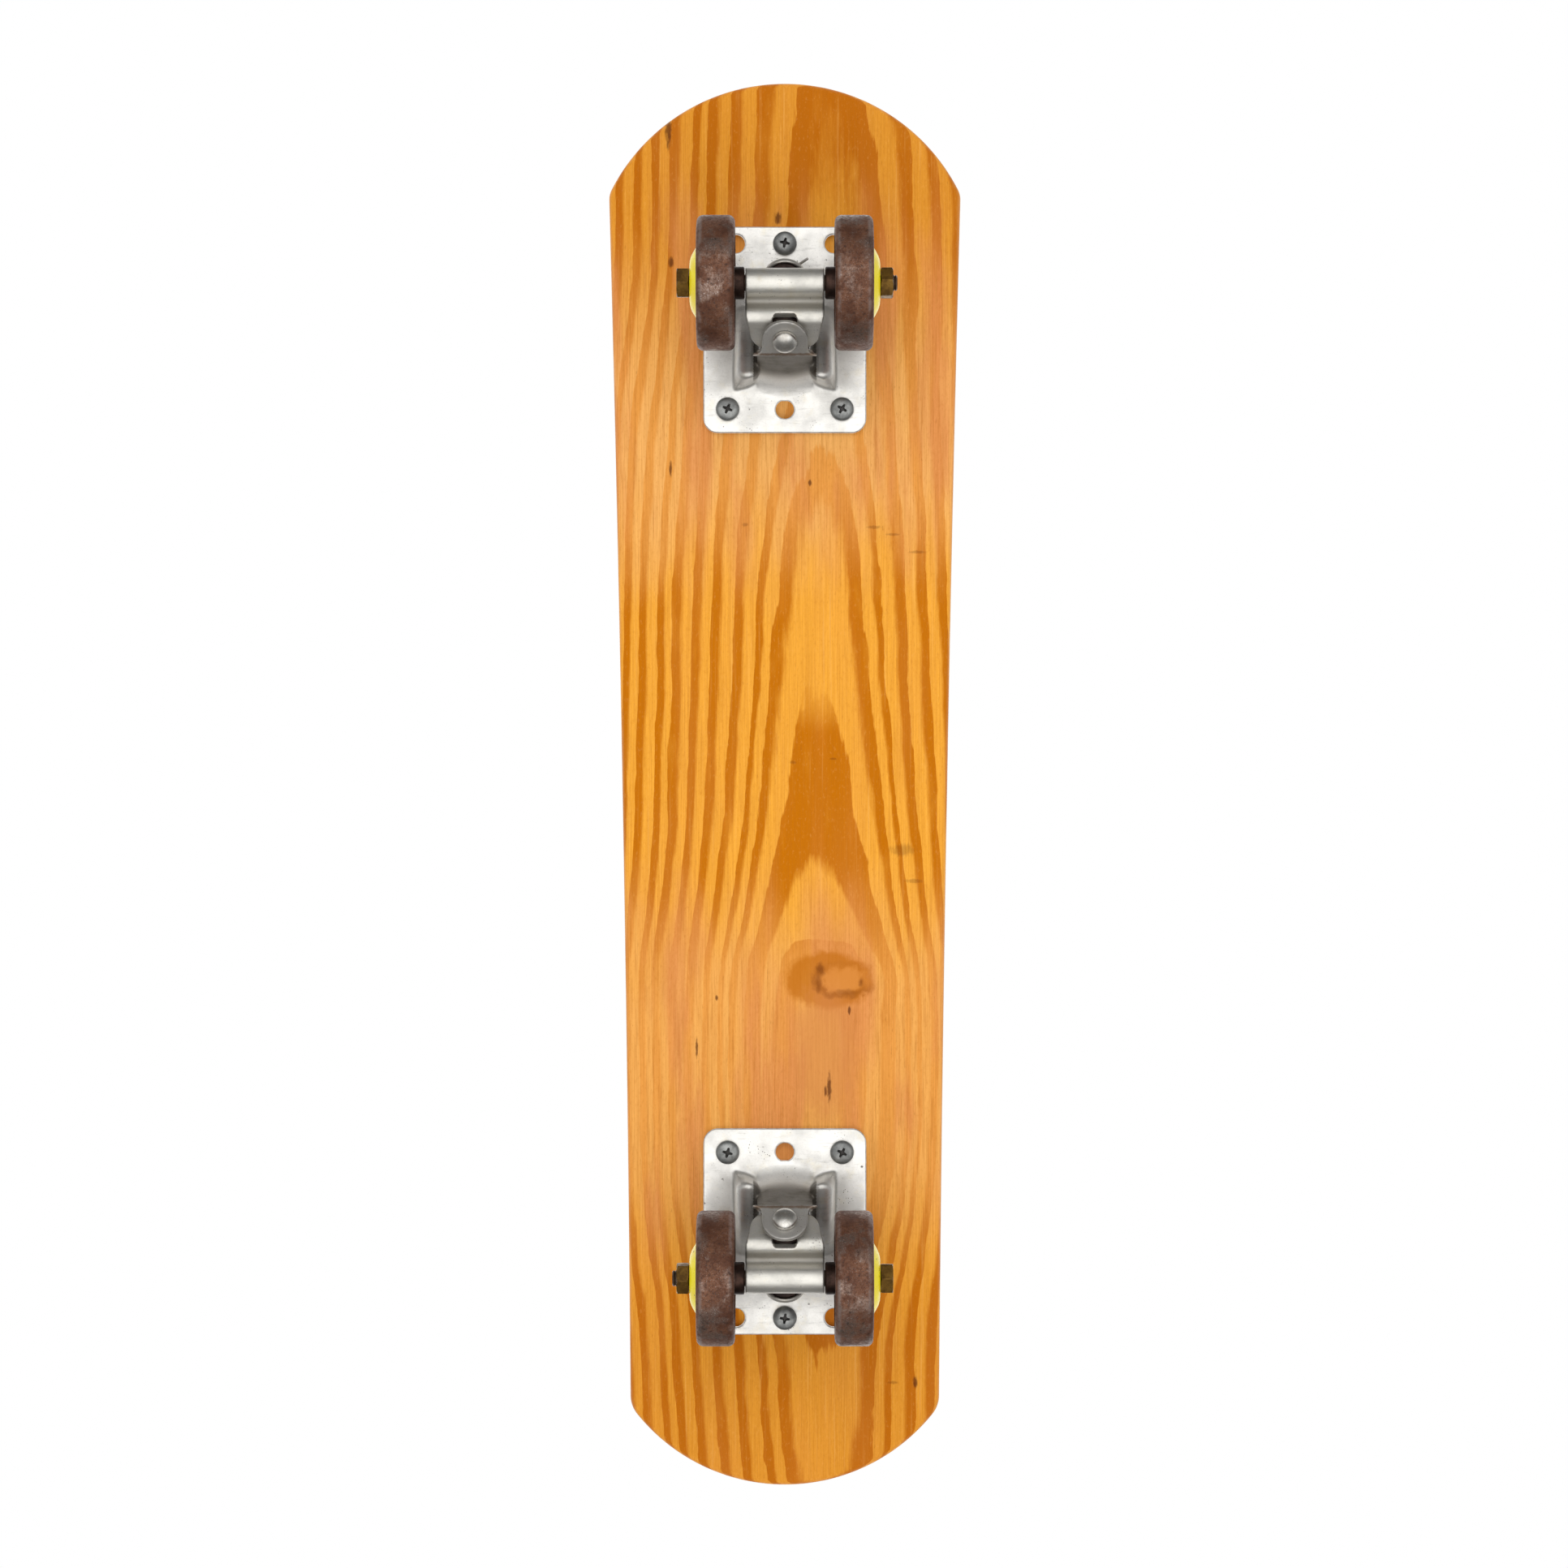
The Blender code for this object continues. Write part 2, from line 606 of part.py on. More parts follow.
def base_plate_mesh():
    """The pressed base plate: sheet, ribs, wall, tab, window and screw holes."""
    outer = -PLATE_OUTWARD_OF_AXLE
    inner = outer + PLATE_LENGTH
    r = PLATE_CORNER_RADIUS
    half = arc(inner - r, PLATE_WIDTH / 2 - r, r, 0, 90, 4)
    half += arc(outer + r, PLATE_WIDTH / 2 - r, r, 90, 180, 4)
    sheet = extruded(mirrored_outline(half), PLATE_FACE, PLATE_TOP, "Z")
    screws, empty_holes = screw_places()
    below = PLATE_FACE - CUTTER_SPARE
    above = PLATE_TOP + CUTTER_SPARE
    holes = []
    for x, y in list(screws.values()) + empty_holes:
        at = Matrix.Translation((x, y, 0))
        holes.append(rod(PLATE_HOLE_RADIUS, below, above, PIN_STEPS, at))
    hollows = on_both_sides(lambda: rib_form(PLATE_SHEET, above))
    through = PLATE_SHEET + CUTTER_SPARE
    pin_hole = rod(PIN_HOLE_RADIUS, -CUTTER_SPARE, through, PIN_STEPS, pin_place())
    middle = (PLATE_FACE + PLATE_TOP) / 2
    tools = [
        ("UNION", on_both_sides(lambda: rib_form(0.0, middle))),
        ("DIFFERENCE", joined([hollows, plate_window(), *holes])),
        ("UNION", pedestal_wall()),
        ("UNION", pedestal_tab()),
        ("DIFFERENCE", pin_hole),
    ]
    return carved(sheet, "base_plate", tools)


# Hanger


def hanger_outline():
    """The hanger's section in the pin's frame: tongue, ridge, wall and the roll round the axle."""
    wall_out = AXLE_IN_PIN_X + AXLE_TUBE_RADIUS - WALL_FROM_TUBE
    wall_in = wall_out + HANGER_SHEET
    tongue_in = TONGUE_FACE + HANGER_SHEET
    bend_x = wall_out + RIDGE_BEND_RADIUS
    bend_z = TONGUE_FACE + RIDGE_BEND_RADIUS
    valley_x = wall_out - VALLEY_RADIUS
    across = valley_x - AXLE_IN_PIN_X
    valley_z = AXLE_IN_PIN_Z - math.sqrt((AXLE_TUBE_RADIUS + VALLEY_RADIUS) ** 2 - across**2)
    to_tube = math.degrees(math.atan2(AXLE_IN_PIN_Z - valley_z, AXLE_IN_PIN_X - valley_x))
    wrap = math.degrees(TUBE_WRAP_ANGLE)
    wrap_radius = wall_in - AXLE_IN_PIN_X
    outline = [(TONGUE_TIP_FROM_PIN, TONGUE_FACE)]
    outline += arc(bend_x, bend_z, RIDGE_BEND_RADIUS, 270, 180, 4)
    outline += arc(valley_x, valley_z, VALLEY_RADIUS, 0, to_tube, 4)
    outline += arc(
        AXLE_IN_PIN_X, AXLE_IN_PIN_Z, AXLE_TUBE_RADIUS, to_tube - 180, wrap - 360, 14
    )[1:]
    outline += arc(AXLE_IN_PIN_X, AXLE_IN_PIN_Z, wrap_radius, wrap, 0, 3)
    outline += arc(bend_x, bend_z, RIDGE_BEND_RADIUS - HANGER_SHEET, 180, 270, 3)
    outline.append((TONGUE_TIP_FROM_PIN, tongue_in))
    return outline


def tongue_trim():
    """What is cut away round the tongue, so that it tapers to a blunt rounded tip."""
    spare = 3 * MM
    r = TONGUE_CORNER_RADIUS
    side = HANGER_WIDTH / 2
    tip_side = TONGUE_TIP_WIDTH / 2
    corner_x = TONGUE_TIP_FROM_PIN - r
    lean = math.degrees(math.atan2(side - tip_side, corner_x + TONGUE_TAPER_START))
    slant = (side - tip_side) / (corner_x + TONGUE_TAPER_START)
    half = [(-TONGUE_TAPER_START - spare, side + slant * spare)]
    half += arc(corner_x, tip_side - r, r, 90 - lean, 0, 5)
    inside = mirrored_outline(half)
    outside = [
        (-TONGUE_TAPER_START - spare, -side - spare),
        (TONGUE_TIP_FROM_PIN + spare, -side - spare),
        (TONGUE_TIP_FROM_PIN + spare, side + spare),
        (-TONGUE_TAPER_START - spare, side + spare),
    ]
    return extruded(
        inside + outside, TONGUE_FACE - spare, TONGUE_FACE + HANGER_SHEET + spare, "Z"
    )


def tongue_hole():
    """The slot for the king pin: round at the pin, square at the ridge, which it runs into."""
    wide = TONGUE_HOLE_RADIUS
    r = TONGUE_HOLE_CORNER_RADIUS
    half = arc(0, 0, wide, 0, 90, 5)
    half += arc(r - TONGUE_HOLE_REACH, wide - r, r, 90, 180, 3)
    low = TONGUE_FACE - CUTTER_SPARE
    high = TONGUE_FACE + HANGER_SHEET + SEAT_GAP
    return extruded(mirrored_outline(half), low, high, "Z")


def hanger_mesh():
    """The stamped hanger, with its bore for the axle."""
    half_width = HANGER_WIDTH / 2
    body = extruded(hanger_outline(), -half_width, half_width, "Y")
    along_axle = Matrix.Translation((AXLE_IN_PIN_X, 0, AXLE_IN_PIN_Z)) @ Matrix.Rotation(
        math.radians(90), 4, "X"
    )
    reach = half_width + CUTTER_SPARE
    bore = rod(AXLE_HOLE_RADIUS, -reach, reach, PIN_STEPS, along_axle)
    tools = [
        ("DIFFERENCE", joined([bore, tongue_trim()])),
        ("DIFFERENCE", tongue_hole()),
    ]
    return carved(body, "hanger", tools)


# King pin, cushions, washers and cotter pin


def king_pin_mesh():
    """The king pin: a domed head above the tab, a plain shank and a cross hole for the cotter pin."""
    head_face = -SEAT_GAP
    dome = [
        (KING_PIN_HEAD_RADIUS * math.cos(a), head_face - KING_PIN_HEAD_HEIGHT * math.sin(a))
        for a in (math.radians(angle) for angle in (90, 66, 44, 22, 6))
    ]
    dome[0] = (0.0, head_face - KING_PIN_HEAD_HEIGHT)
    profile = dome + [
        (KING_PIN_HEAD_RADIUS, head_face),
        (KING_PIN_RADIUS, head_face),
        (KING_PIN_RADIUS, KING_PIN_END - KING_PIN_CHAMFER),
        (KING_PIN_RADIUS - KING_PIN_CHAMFER, KING_PIN_END),
        (0.0, KING_PIN_END),
    ]
    across = Matrix.Translation((0, 0, COTTER_LINE)) @ Matrix.Rotation(math.radians(90), 4, "X")
    reach = KING_PIN_RADIUS + CUTTER_SPARE
    hole = rod(COTTER_RADIUS + RUNNING_GAP, -reach, reach, SMALL_STEPS, across)
    return carved(turned(profile, PIN_STEPS, solid_core=True), "king_pin", [("DIFFERENCE", hole)])


def upper_cushion_mesh():
    """The thin rubber ring between the tab and the hanger's tongue."""
    top = UPPER_CUSHION_TOP
    foot = top + UPPER_CUSHION_THICKNESS
    soft = CUSHION_EDGE_ROUND
    profile = [
        (PIN_HOLE_RADIUS, top),
        (UPPER_CUSHION_RADIUS - soft, top),
        (UPPER_CUSHION_RADIUS, top + soft),
        (UPPER_CUSHION_RADIUS, foot - soft),
        (UPPER_CUSHION_RADIUS - soft, foot),
        (PIN_HOLE_RADIUS, foot),
    ]
    return finished(turned(profile, PIN_STEPS), "upper_cushion")


def lower_cushion_mesh():
    """The long rubber barrel below the tongue: slim where the hanger wall passes it, then a belly."""
    top = LOWER_CUSHION_TOP
    foot = top + LOWER_CUSHION_LENGTH
    soft = CUSHION_EDGE_ROUND
    belly = LOWER_CUSHION_BELLY_SHARE
    profile = [(PIN_HOLE_RADIUS, top), (LOWER_CUSHION_TOP_RADIUS - soft, top)]
    steps = 5
    for i in range(steps + 1):
        share = i / steps
        if share < belly:
            swell = 0.5 - 0.5 * math.cos(math.pi * share / belly)
            radius = LOWER_CUSHION_TOP_RADIUS
            radius += swell * (LOWER_CUSHION_BELLY_RADIUS - LOWER_CUSHION_TOP_RADIUS)
        else:
            swell = 0.5 + 0.5 * math.cos(math.pi * (share - belly) / (1 - belly))
            radius = LOWER_CUSHION_FOOT_RADIUS
            radius += swell * (LOWER_CUSHION_BELLY_RADIUS - LOWER_CUSHION_FOOT_RADIUS)
        profile.append((radius, top + soft + share * (LOWER_CUSHION_LENGTH - soft)))
    profile.append((PIN_HOLE_RADIUS, foot))
    return finished(turned(profile, PIN_STEPS), "lower_cushion")


def cup_washer_mesh():
    """The dished washer that holds the foot of the lower cushion."""
    face = CUP_WASHER_FACE
    back = face + CUP_WASHER_SHEET
    lip = back - CUP_WASHER_RIM
    inner = CUP_WASHER_RADIUS - CUP_WASHER_SHEET
    profile = [
        (PIN_HOLE_RADIUS, face),
        (inner, face),
        (inner, lip),
        (CUP_WASHER_RADIUS, lip),
        (CUP_WASHER_RADIUS, back - CUP_WASHER_SHEET / 2),
        (CUP_WASHER_RADIUS - CUP_WASHER_SHEET / 2, back),
        (PIN_HOLE_RADIUS, back),
    ]
    return finished(turned(profile, HUB_STEPS), "cup_washer")


def flat_washer_mesh():
    """The plain washer between the cup washer and the cotter pin."""
    face = FLAT_WASHER_FACE
    back = face + FLAT_WASHER_THICKNESS
    profile = [
        (PIN_HOLE_RADIUS, face),
        (FLAT_WASHER_RADIUS, face),
        (FLAT_WASHER_RADIUS, back),
        (PIN_HOLE_RADIUS, back),
    ]
    return finished(turned(profile, PIN_STEPS), "flat_washer")


def ring_of_wire(ring_radius, wire_radius, ring_steps, wire_steps):
    """A wire ring about Z, centred on the origin."""
    section = arc(ring_radius, 0, wire_radius, 0, 360, wire_steps)[:-1]
    return turned(section, ring_steps)


def cotter_pin_mesh():
    """The split pin: a shank through the king pin, an eye, and a long and a short leg sprung apart."""
    shank_start = -COTTER_EYE_REACH + 2 * COTTER_EYE_RADIUS - COTTER_EYE_WIRE_RADIUS
    shank = rod(COTTER_RADIUS, shank_start, COTTER_LEGS_START, SMALL_STEPS)
    ring_radius = COTTER_EYE_RADIUS - COTTER_EYE_WIRE_RADIUS
    eye = ring_of_wire(ring_radius, COTTER_EYE_WIRE_RADIUS, SMALL_STEPS, 5)
    bmesh.ops.transform(
        eye,
        matrix=Matrix.Translation((0, 0, -COTTER_EYE_REACH + COTTER_EYE_RADIUS))
        @ Matrix.Rotation(math.radians(90), 4, "X"),
        verts=eye.verts,
    )
    tools = [("UNION", eye)]
    legs = (
        (COTTER_LONG_LEG_REACH, COTTER_LONG_LEG_SPREAD),
        (COTTER_SHORT_LEG_REACH, -COTTER_SHORT_LEG_SPREAD),
    )
    for reach, spread in legs:
        run = Vector((spread, 0, reach - COTTER_LEGS_START))
        turn = run.to_track_quat("Z", "Y").to_matrix().to_4x4()
        at = Matrix.Translation((0, 0, COTTER_LEGS_START - COTTER_RADIUS)) @ turn
        leg = rod(COTTER_LEG_RADIUS, 0, run.length + COTTER_RADIUS, SMALL_STEPS, at)
        tools.append(("UNION", leg))
    mesh = carved(shank, "cotter_pin", tools)
    mesh.transform(
        Matrix.Translation((0, 0, COTTER_LINE)) @ Matrix.Rotation(math.radians(-90), 4, "X")
    )
    return mesh


# Screws


def wood_screw_mesh():
    """A pan-head wood screw pointing along +Z, with its head's seat on the origin."""
    crown = [
        (SCREW_HEAD_RADIUS * math.sin(a), SCREW_HEAD_CROWN * (1 - math.cos(a)) - SCREW_HEAD_HEIGHT)
        for a in (math.radians(angle) for angle in (0, 48, 90))
    ]
    profile = crown + [
        (SCREW_HEAD_RADIUS, 0.0),
        (SCREW_SHANK_RADIUS, 0.0),
        (SCREW_SHANK_RADIUS, SCREW_LENGTH - SCREW_POINT_LENGTH),
        (0.0, SCREW_LENGTH),
    ]
    half_long = SCREW_CROSS_LENGTH / 2
    half_wide = SCREW_CROSS_WIDTH / 2
    cross = []
    for quarter in range(4):
        turn = Matrix.Rotation(math.radians(90 * quarter), 2)
        for corner in ((half_long, -half_wide), (half_long, half_wide), (half_wide, half_wide)):
            spot = turn @ Vector(corner)
            cross.append((spot.x, spot.y))
    top = -SCREW_HEAD_HEIGHT
    recess = extruded(cross, top - CUTTER_SPARE, top + SCREW_CROSS_DEPTH, "Z")
    screw = turned(profile, PIN_STEPS, solid_core=True)
    return carved(screw, "wood_screw", [("DIFFERENCE", recess)])


# Axle, nuts and wheels


def axle_mesh():
    """The axle rod: its long end stands past its nut, the other stops just inside its nut's face."""
    nut_back = WHEEL_TRACK / 2 + NUT_FACE + NUT_THICKNESS
    long_end = nut_back + AXLE_PAST_LONG_END_NUT
    short_end = nut_back - AXLE_SHORT_OF_NUT_FACE
    profile = [
        (0.0, -short_end),
        (AXLE_RADIUS - AXLE_CHAMFER, -short_end),
        (AXLE_RADIUS, -short_end + AXLE_CHAMFER),
        (AXLE_RADIUS, long_end - AXLE_CHAMFER),
        (AXLE_RADIUS - AXLE_CHAMFER, long_end),
        (0.0, long_end),
    ]
    return finished(turned(profile, PIN_STEPS, solid_core=True), "axle")


def nut_mesh():
    """A hex nut with chamfered corners on its outer face."""
    corner = NUT_ACROSS_FLATS / 2 / math.cos(math.radians(30))
    turn = math.degrees(NUT_TURN)
    hexagon = arc(0, 0, corner, turn, turn + 360, 6)[:-1]
    body = extruded(hexagon, NUT_FACE, NUT_FACE + NUT_THICKNESS, "Z")
    outer = NUT_FACE + NUT_THICKNESS
    collar = turned(
        [
            (corner - NUT_CHAMFER, outer),
            (corner + CUTTER_SPARE, outer - NUT_CHAMFER_DROP),
            (corner + CUTTER_SPARE, outer + CUTTER_SPARE),
            (corner - NUT_CHAMFER, outer + CUTTER_SPARE),
        ],
        HUB_STEPS,
    )
    bore = rod(AXLE_HOLE_RADIUS, NUT_FACE - CUTTER_SPARE, outer + CUTTER_SPARE, PIN_STEPS)
    return carved(body, "axle_nut", [("DIFFERENCE", collar), ("DIFFERENCE", bore)])


def tyre_mesh():
    """The tyre: a rolled steel shell with round shoulders and a turned-in flange on each side."""
    r = TYRE_SHOULDER_RADIUS
    half = HALF_TREAD
    shell = WHEEL_RADIUS - TYRE_SHELL
    flange = half - TYRE_SHELL
    profile = [(TYRE_OPENING_RADIUS, half)]
    profile += arc(WHEEL_RADIUS - r, half - r, r, 90, 0, 2)
    profile += arc(WHEEL_RADIUS - r, r - half, r, 0, -90, 2)
    profile += [
        (TYRE_OPENING_RADIUS, -half),
        (TYRE_OPENING_RADIUS, -flange),
        (shell, -flange),
        (shell, flange),
        (TYRE_OPENING_RADIUS, flange),
    ]
    return finished(turned(profile, WHEEL_STEPS), "tyre")


def wheel_disc_mesh():
    """The pressed disc inside the tyre, with its rim flange and the hub that holds both ball cups."""
    rim_out = WHEEL_RADIUS - TYRE_SHELL - SEAT_GAP
    rim_in = rim_out - DISC_SHEET
    rim = DISC_RIM_WIDTH / 2
    web = DISC_SHEET / 2
    hub = HUB_LENGTH / 2
    stop = HUB_STOP_LENGTH / 2
    profile = [
        (BALL_OUTER_RACE, hub),
        (HUB_RADIUS, hub),
        (HUB_RADIUS, web + DISC_DISH),
        (rim_in, web - DISC_DISH),
        (rim_in, rim),
        (rim_out, rim),
        (rim_out, -web - DISC_DISH),
        (HUB_RADIUS, -web + DISC_DISH),
        (HUB_RADIUS, -hub),
        (BALL_OUTER_RACE, -hub),
        (BALL_OUTER_RACE, -stop),
        (HUB_STOP_RADIUS, -stop),
        (HUB_STOP_RADIUS, stop),
        (BALL_OUTER_RACE, stop),
    ]
    return finished(turned(profile, HUB_STEPS), "wheel_disc")


def hub_cap_mesh():
    """The domed hub cap, seated in the outer flange of the tyre."""
    low = HALF_TREAD - CAP_SEAT_DEPTH
    drop = CAP_FACE - low
    crown = (CAP_FLAT_RADIUS + CAP_SHOULDER_RADIUS) / 2
    outer = [
        (CAP_HOLE_RADIUS, CAP_FACE),
        (CAP_FLAT_RADIUS, CAP_FACE),
        (crown, CAP_FACE - drop / 6),
        (CAP_SHOULDER_RADIUS, CAP_FACE - drop * 5 / 8),
        (CAP_FOOT_RADIUS, low),
        (TYRE_OPENING_RADIUS - SEAT_GAP, low),
    ]
    inner = [(x, z - CAP_SHEET) for x, z in reversed(outer) if x != crown]
    return finished(turned(outer + inner, CAP_STEPS), "hub_cap", 60)


def inner_cone_mesh():
    """The inner bearing cone: the dark collar beside the hanger tube, and the race for the inner balls."""
    start = TUBE_END_IN_WHEEL + SEAT_GAP
    profile = [
        (AXLE_HOLE_RADIUS, start),
        (CONE_FLANGE_RADIUS - CONE_EDGE_ROUND, start),
        (CONE_FLANGE_RADIUS, start + CONE_EDGE_ROUND),
        (CONE_FLANGE_RADIUS, -BALL_SHOULDER),
        (BALL_INNER_RACE, -BALL_SHOULDER + CONE_RACE_SLOPE),
        (BALL_INNER_RACE, -SEAT_GAP / 2),
        (AXLE_HOLE_RADIUS, -SEAT_GAP / 2),
    ]
    return finished(turned(profile, PIN_STEPS), "inner_cone")


def outer_cone_mesh():
    """The outer bearing cone, whose nose reaches through the cap to the nut."""
    back = CAP_FACE - CONE_NOSE_LENGTH
    profile = [
        (AXLE_HOLE_RADIUS, SEAT_GAP / 2),
        (BALL_INNER_RACE, SEAT_GAP / 2),
        (BALL_INNER_RACE, BALL_SHOULDER - CONE_RACE_SLOPE),
        (CONE_FLANGE_RADIUS, BALL_SHOULDER),
        (CONE_FLANGE_RADIUS, back),
        (CONE_NOSE_RADIUS, back),
        (CONE_NOSE_RADIUS, CAP_FACE),
        (AXLE_HOLE_RADIUS, CAP_FACE),
    ]
    return finished(turned(profile, PIN_STEPS), "outer_cone")


def ball_ring_mesh(side):
    """The balls of one race, held in a thin cage. Side is 1 for the outboard race, -1 for the inboard."""
    level = side * BALL_OFFSET
    thin = CAGE_THICKNESS / 2
    wide = CAGE_WIDTH / 2
    inner = BALL_CIRCLE_RADIUS - thin
    outer = BALL_CIRCLE_RADIUS + thin
    cage = turned(
        [
            (inner, level - wide),
            (outer, level - wide),
            (outer, level + wide),
            (inner, level + wide),
        ],
        BALL_COUNT,
    )
    balls = []
    for i in range(BALL_COUNT):
        turn = Matrix.Rotation(2 * math.pi * i / BALL_COUNT, 4, "Z")
        at = turn @ Matrix.Translation((BALL_CIRCLE_RADIUS, 0, level))
        ball = bmesh.new()
        bmesh.ops.create_uvsphere(
            ball, u_segments=6, v_segments=3, radius=BALL_RADIUS, matrix=at
        )
        balls.append(ball)
    name = "outer_ball_ring" if side > 0 else "inner_ball_ring"
    return carved(cage, name, [("UNION", joined(balls))])


# Assembly


def truck_place(name):
    """A truck's frame on the deck's underside. The front truck faces the other way round."""
    if name == "front":
        x = DECK_LENGTH / 2 - NOSE_TO_FRONT_AXLE
        return Matrix.Translation((x, 0, DECK_UNDERSIDE)) @ Matrix.Rotation(math.pi, 4, "Z")
    x = TAIL_TO_REAR_AXLE - DECK_LENGTH / 2
    return Matrix.Translation((x, 0, DECK_UNDERSIDE))


def pin_place():
    """The king pin's frame within a truck's frame."""
    at = Matrix.Translation((TAB_INWARD_OF_AXLE, 0, -TAB_DROP))
    return at @ Matrix.Rotation(-KING_PIN_LEAN, 4, "Y")


def wheel_place(side):
    """A wheel's frame within the king pin's frame. Side is 1 or -1 along the axle."""
    level = Matrix.Translation((AXLE_IN_PIN_X, 0, AXLE_IN_PIN_Z))
    level = level @ Matrix.Rotation(KING_PIN_LEAN, 4, "Y")
    along = Matrix.Translation((0, side * WHEEL_TRACK / 2, 0))
    return level @ along @ Matrix.Rotation(math.radians(-90 * side), 4, "X")


def make_meshes(truck_places):
    """Every distinct shape of the board, each made once."""
    return {
        "deck": deck_mesh(truck_places),
        "base_plate": base_plate_mesh(),
        "wood_screw": wood_screw_mesh(),
        "hanger": hanger_mesh(),
        "axle": axle_mesh(),
        "king_pin": king_pin_mesh(),
        "upper_cushion": upper_cushion_mesh(),
        "lower_cushion": lower_cushion_mesh(),
        "cup_washer": cup_washer_mesh(),
        "flat_washer": flat_washer_mesh(),
        "cotter_pin": cotter_pin_mesh(),
        "axle_nut": nut_mesh(),
        "tyre": tyre_mesh(),
        "wheel_disc": wheel_disc_mesh(),
        "hub_cap": hub_cap_mesh(),
        "inner_cone": inner_cone_mesh(),
        "outer_cone": outer_cone_mesh(),
        "outer_ball_ring": ball_ring_mesh(1),
        "inner_ball_ring": ball_ring_mesh(-1),
    }


def add_wheel(truck, side, steer, meshes, finishes):
    """One wheel, its bearing and its nut. What spins is carried by an empty on the axle's line."""
    ahead = 1 if truck == "rear" else -1
    prefix = f"{truck}_left" if side * ahead > 0 else f"{truck}_right"
    fixed = empty(f"{prefix}_axle_end", wheel_place(side), steer)
    spin = empty(f"{prefix}_spin", Matrix.Identity(4), fixed)
    cage = empty(f"{prefix}_cage_spin", Matrix.Identity(4), fixed)
    piece(f"{prefix}_inner_cone", meshes["inner_cone"], finishes["cone"], fixed)
    piece(f"{prefix}_outer_cone", meshes["outer_cone"], finishes["cone"], fixed)
    piece(f"{prefix}_axle_nut", meshes["axle_nut"], finishes["nut"], fixed)
    piece(f"{prefix}_tyre", meshes["tyre"], finishes["tyre"], spin)
    piece(f"{prefix}_wheel_disc", meshes["wheel_disc"], finishes["disc"], spin)
    piece(f"{prefix}_hub_cap", meshes["hub_cap"], finishes["cap"], spin)
    piece(f"{prefix}_inner_ball_ring", meshes["inner_ball_ring"], finishes["ball"], cage)
    piece(f"{prefix}_outer_ball_ring", meshes["outer_ball_ring"], finishes["ball"], cage)


def add_truck(name, meshes, finishes):
    """One truck: what stays with the deck, and what steers about the king pin."""
    truck = empty(f"{name}_truck", truck_place(name))
    piece(f"{name}_base_plate", meshes["base_plate"], finishes["plate"], truck)
    screws, _ = screw_places()
    for spot, (x, y) in screws.items():
        turn = Matrix.Rotation(math.radians(SCREW_TURNS[name][spot]), 4, "Z")
        at = Matrix.Translation((x, y, PLATE_FACE - SEAT_GAP)) @ turn
        piece(f"{name}_{spot}_screw", meshes["wood_screw"], finishes["zinc"], truck, at)

    pin_line = empty(f"{name}_king_pin_line", pin_place(), truck)
    cross_way = Matrix.Rotation(COTTER_TURNS[name], 4, "Z")
    piece(f"{name}_king_pin", meshes["king_pin"], finishes["pin"], pin_line, cross_way)
    piece(f"{name}_cotter_pin", meshes["cotter_pin"], finishes["pin"], pin_line, cross_way)
    piece(f"{name}_upper_cushion", meshes["upper_cushion"], finishes["rubber"], pin_line)
    piece(f"{name}_lower_cushion", meshes["lower_cushion"], finishes["rubber"], pin_line)
    piece(f"{name}_cup_washer", meshes["cup_washer"], finishes["plate"], pin_line)
    piece(f"{name}_flat_washer", meshes["flat_washer"], finishes["zinc"], pin_line)

    steer = empty(f"{name}_steer", Matrix.Identity(4), pin_line)
    piece(f"{name}_hanger", meshes["hanger"], finishes["hanger"], steer)
    piece(f"{name}_axle", meshes["axle"], finishes["axle"], steer, axle_place())
    for side in (1, -1):
        add_wheel(name, side, steer, meshes, finishes)


def axle_place():
    """The axle's frame within the king pin's frame, with +Z towards the long end."""
    level = Matrix.Translation((AXLE_IN_PIN_X, 0, AXLE_IN_PIN_Z))
    return level @ Matrix.Rotation(math.radians(90), 4, "X")


def clear_scene():
    """Remove what a new file holds."""
    for old in list(bpy.data.objects):
        bpy.data.objects.remove(old)


def main():
    clear_scene()
    finishes = make_materials()
    names = ("front", "rear")
    meshes = make_meshes([truck_place(name) for name in names])
    piece("deck", meshes["deck"], finishes["pine"], None)
    for name in names:
        add_truck(name, meshes, finishes)


main()
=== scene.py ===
"""The looks of the vintage skateboard: fine shapes, finishes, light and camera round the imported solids.

Metres, nose towards +X, wheels on Z = 0. Each shape is made in the frame of what carries it (truck, king pin,
axle end) and then put in its place in the board's frame.
"""

import math

import bmesh
import bpy
from mathutils import Matrix, Vector


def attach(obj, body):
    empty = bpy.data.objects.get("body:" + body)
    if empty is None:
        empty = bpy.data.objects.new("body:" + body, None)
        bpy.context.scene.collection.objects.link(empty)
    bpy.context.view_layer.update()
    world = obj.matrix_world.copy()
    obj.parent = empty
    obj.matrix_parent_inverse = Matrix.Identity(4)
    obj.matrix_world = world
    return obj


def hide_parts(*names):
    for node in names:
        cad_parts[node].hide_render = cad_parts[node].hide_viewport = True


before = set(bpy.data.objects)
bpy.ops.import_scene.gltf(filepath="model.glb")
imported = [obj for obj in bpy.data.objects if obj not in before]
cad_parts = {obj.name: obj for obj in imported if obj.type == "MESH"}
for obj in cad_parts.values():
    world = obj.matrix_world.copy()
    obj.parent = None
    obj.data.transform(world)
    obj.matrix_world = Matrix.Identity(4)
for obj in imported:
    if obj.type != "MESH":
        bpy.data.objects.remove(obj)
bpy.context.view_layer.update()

MM = 0.001


def mm(*values):
    """Lengths in millimetres, as metres."""
    return tuple(value * MM for value in values)


GAP = 0.3 * MM
SPARE = 1 * MM

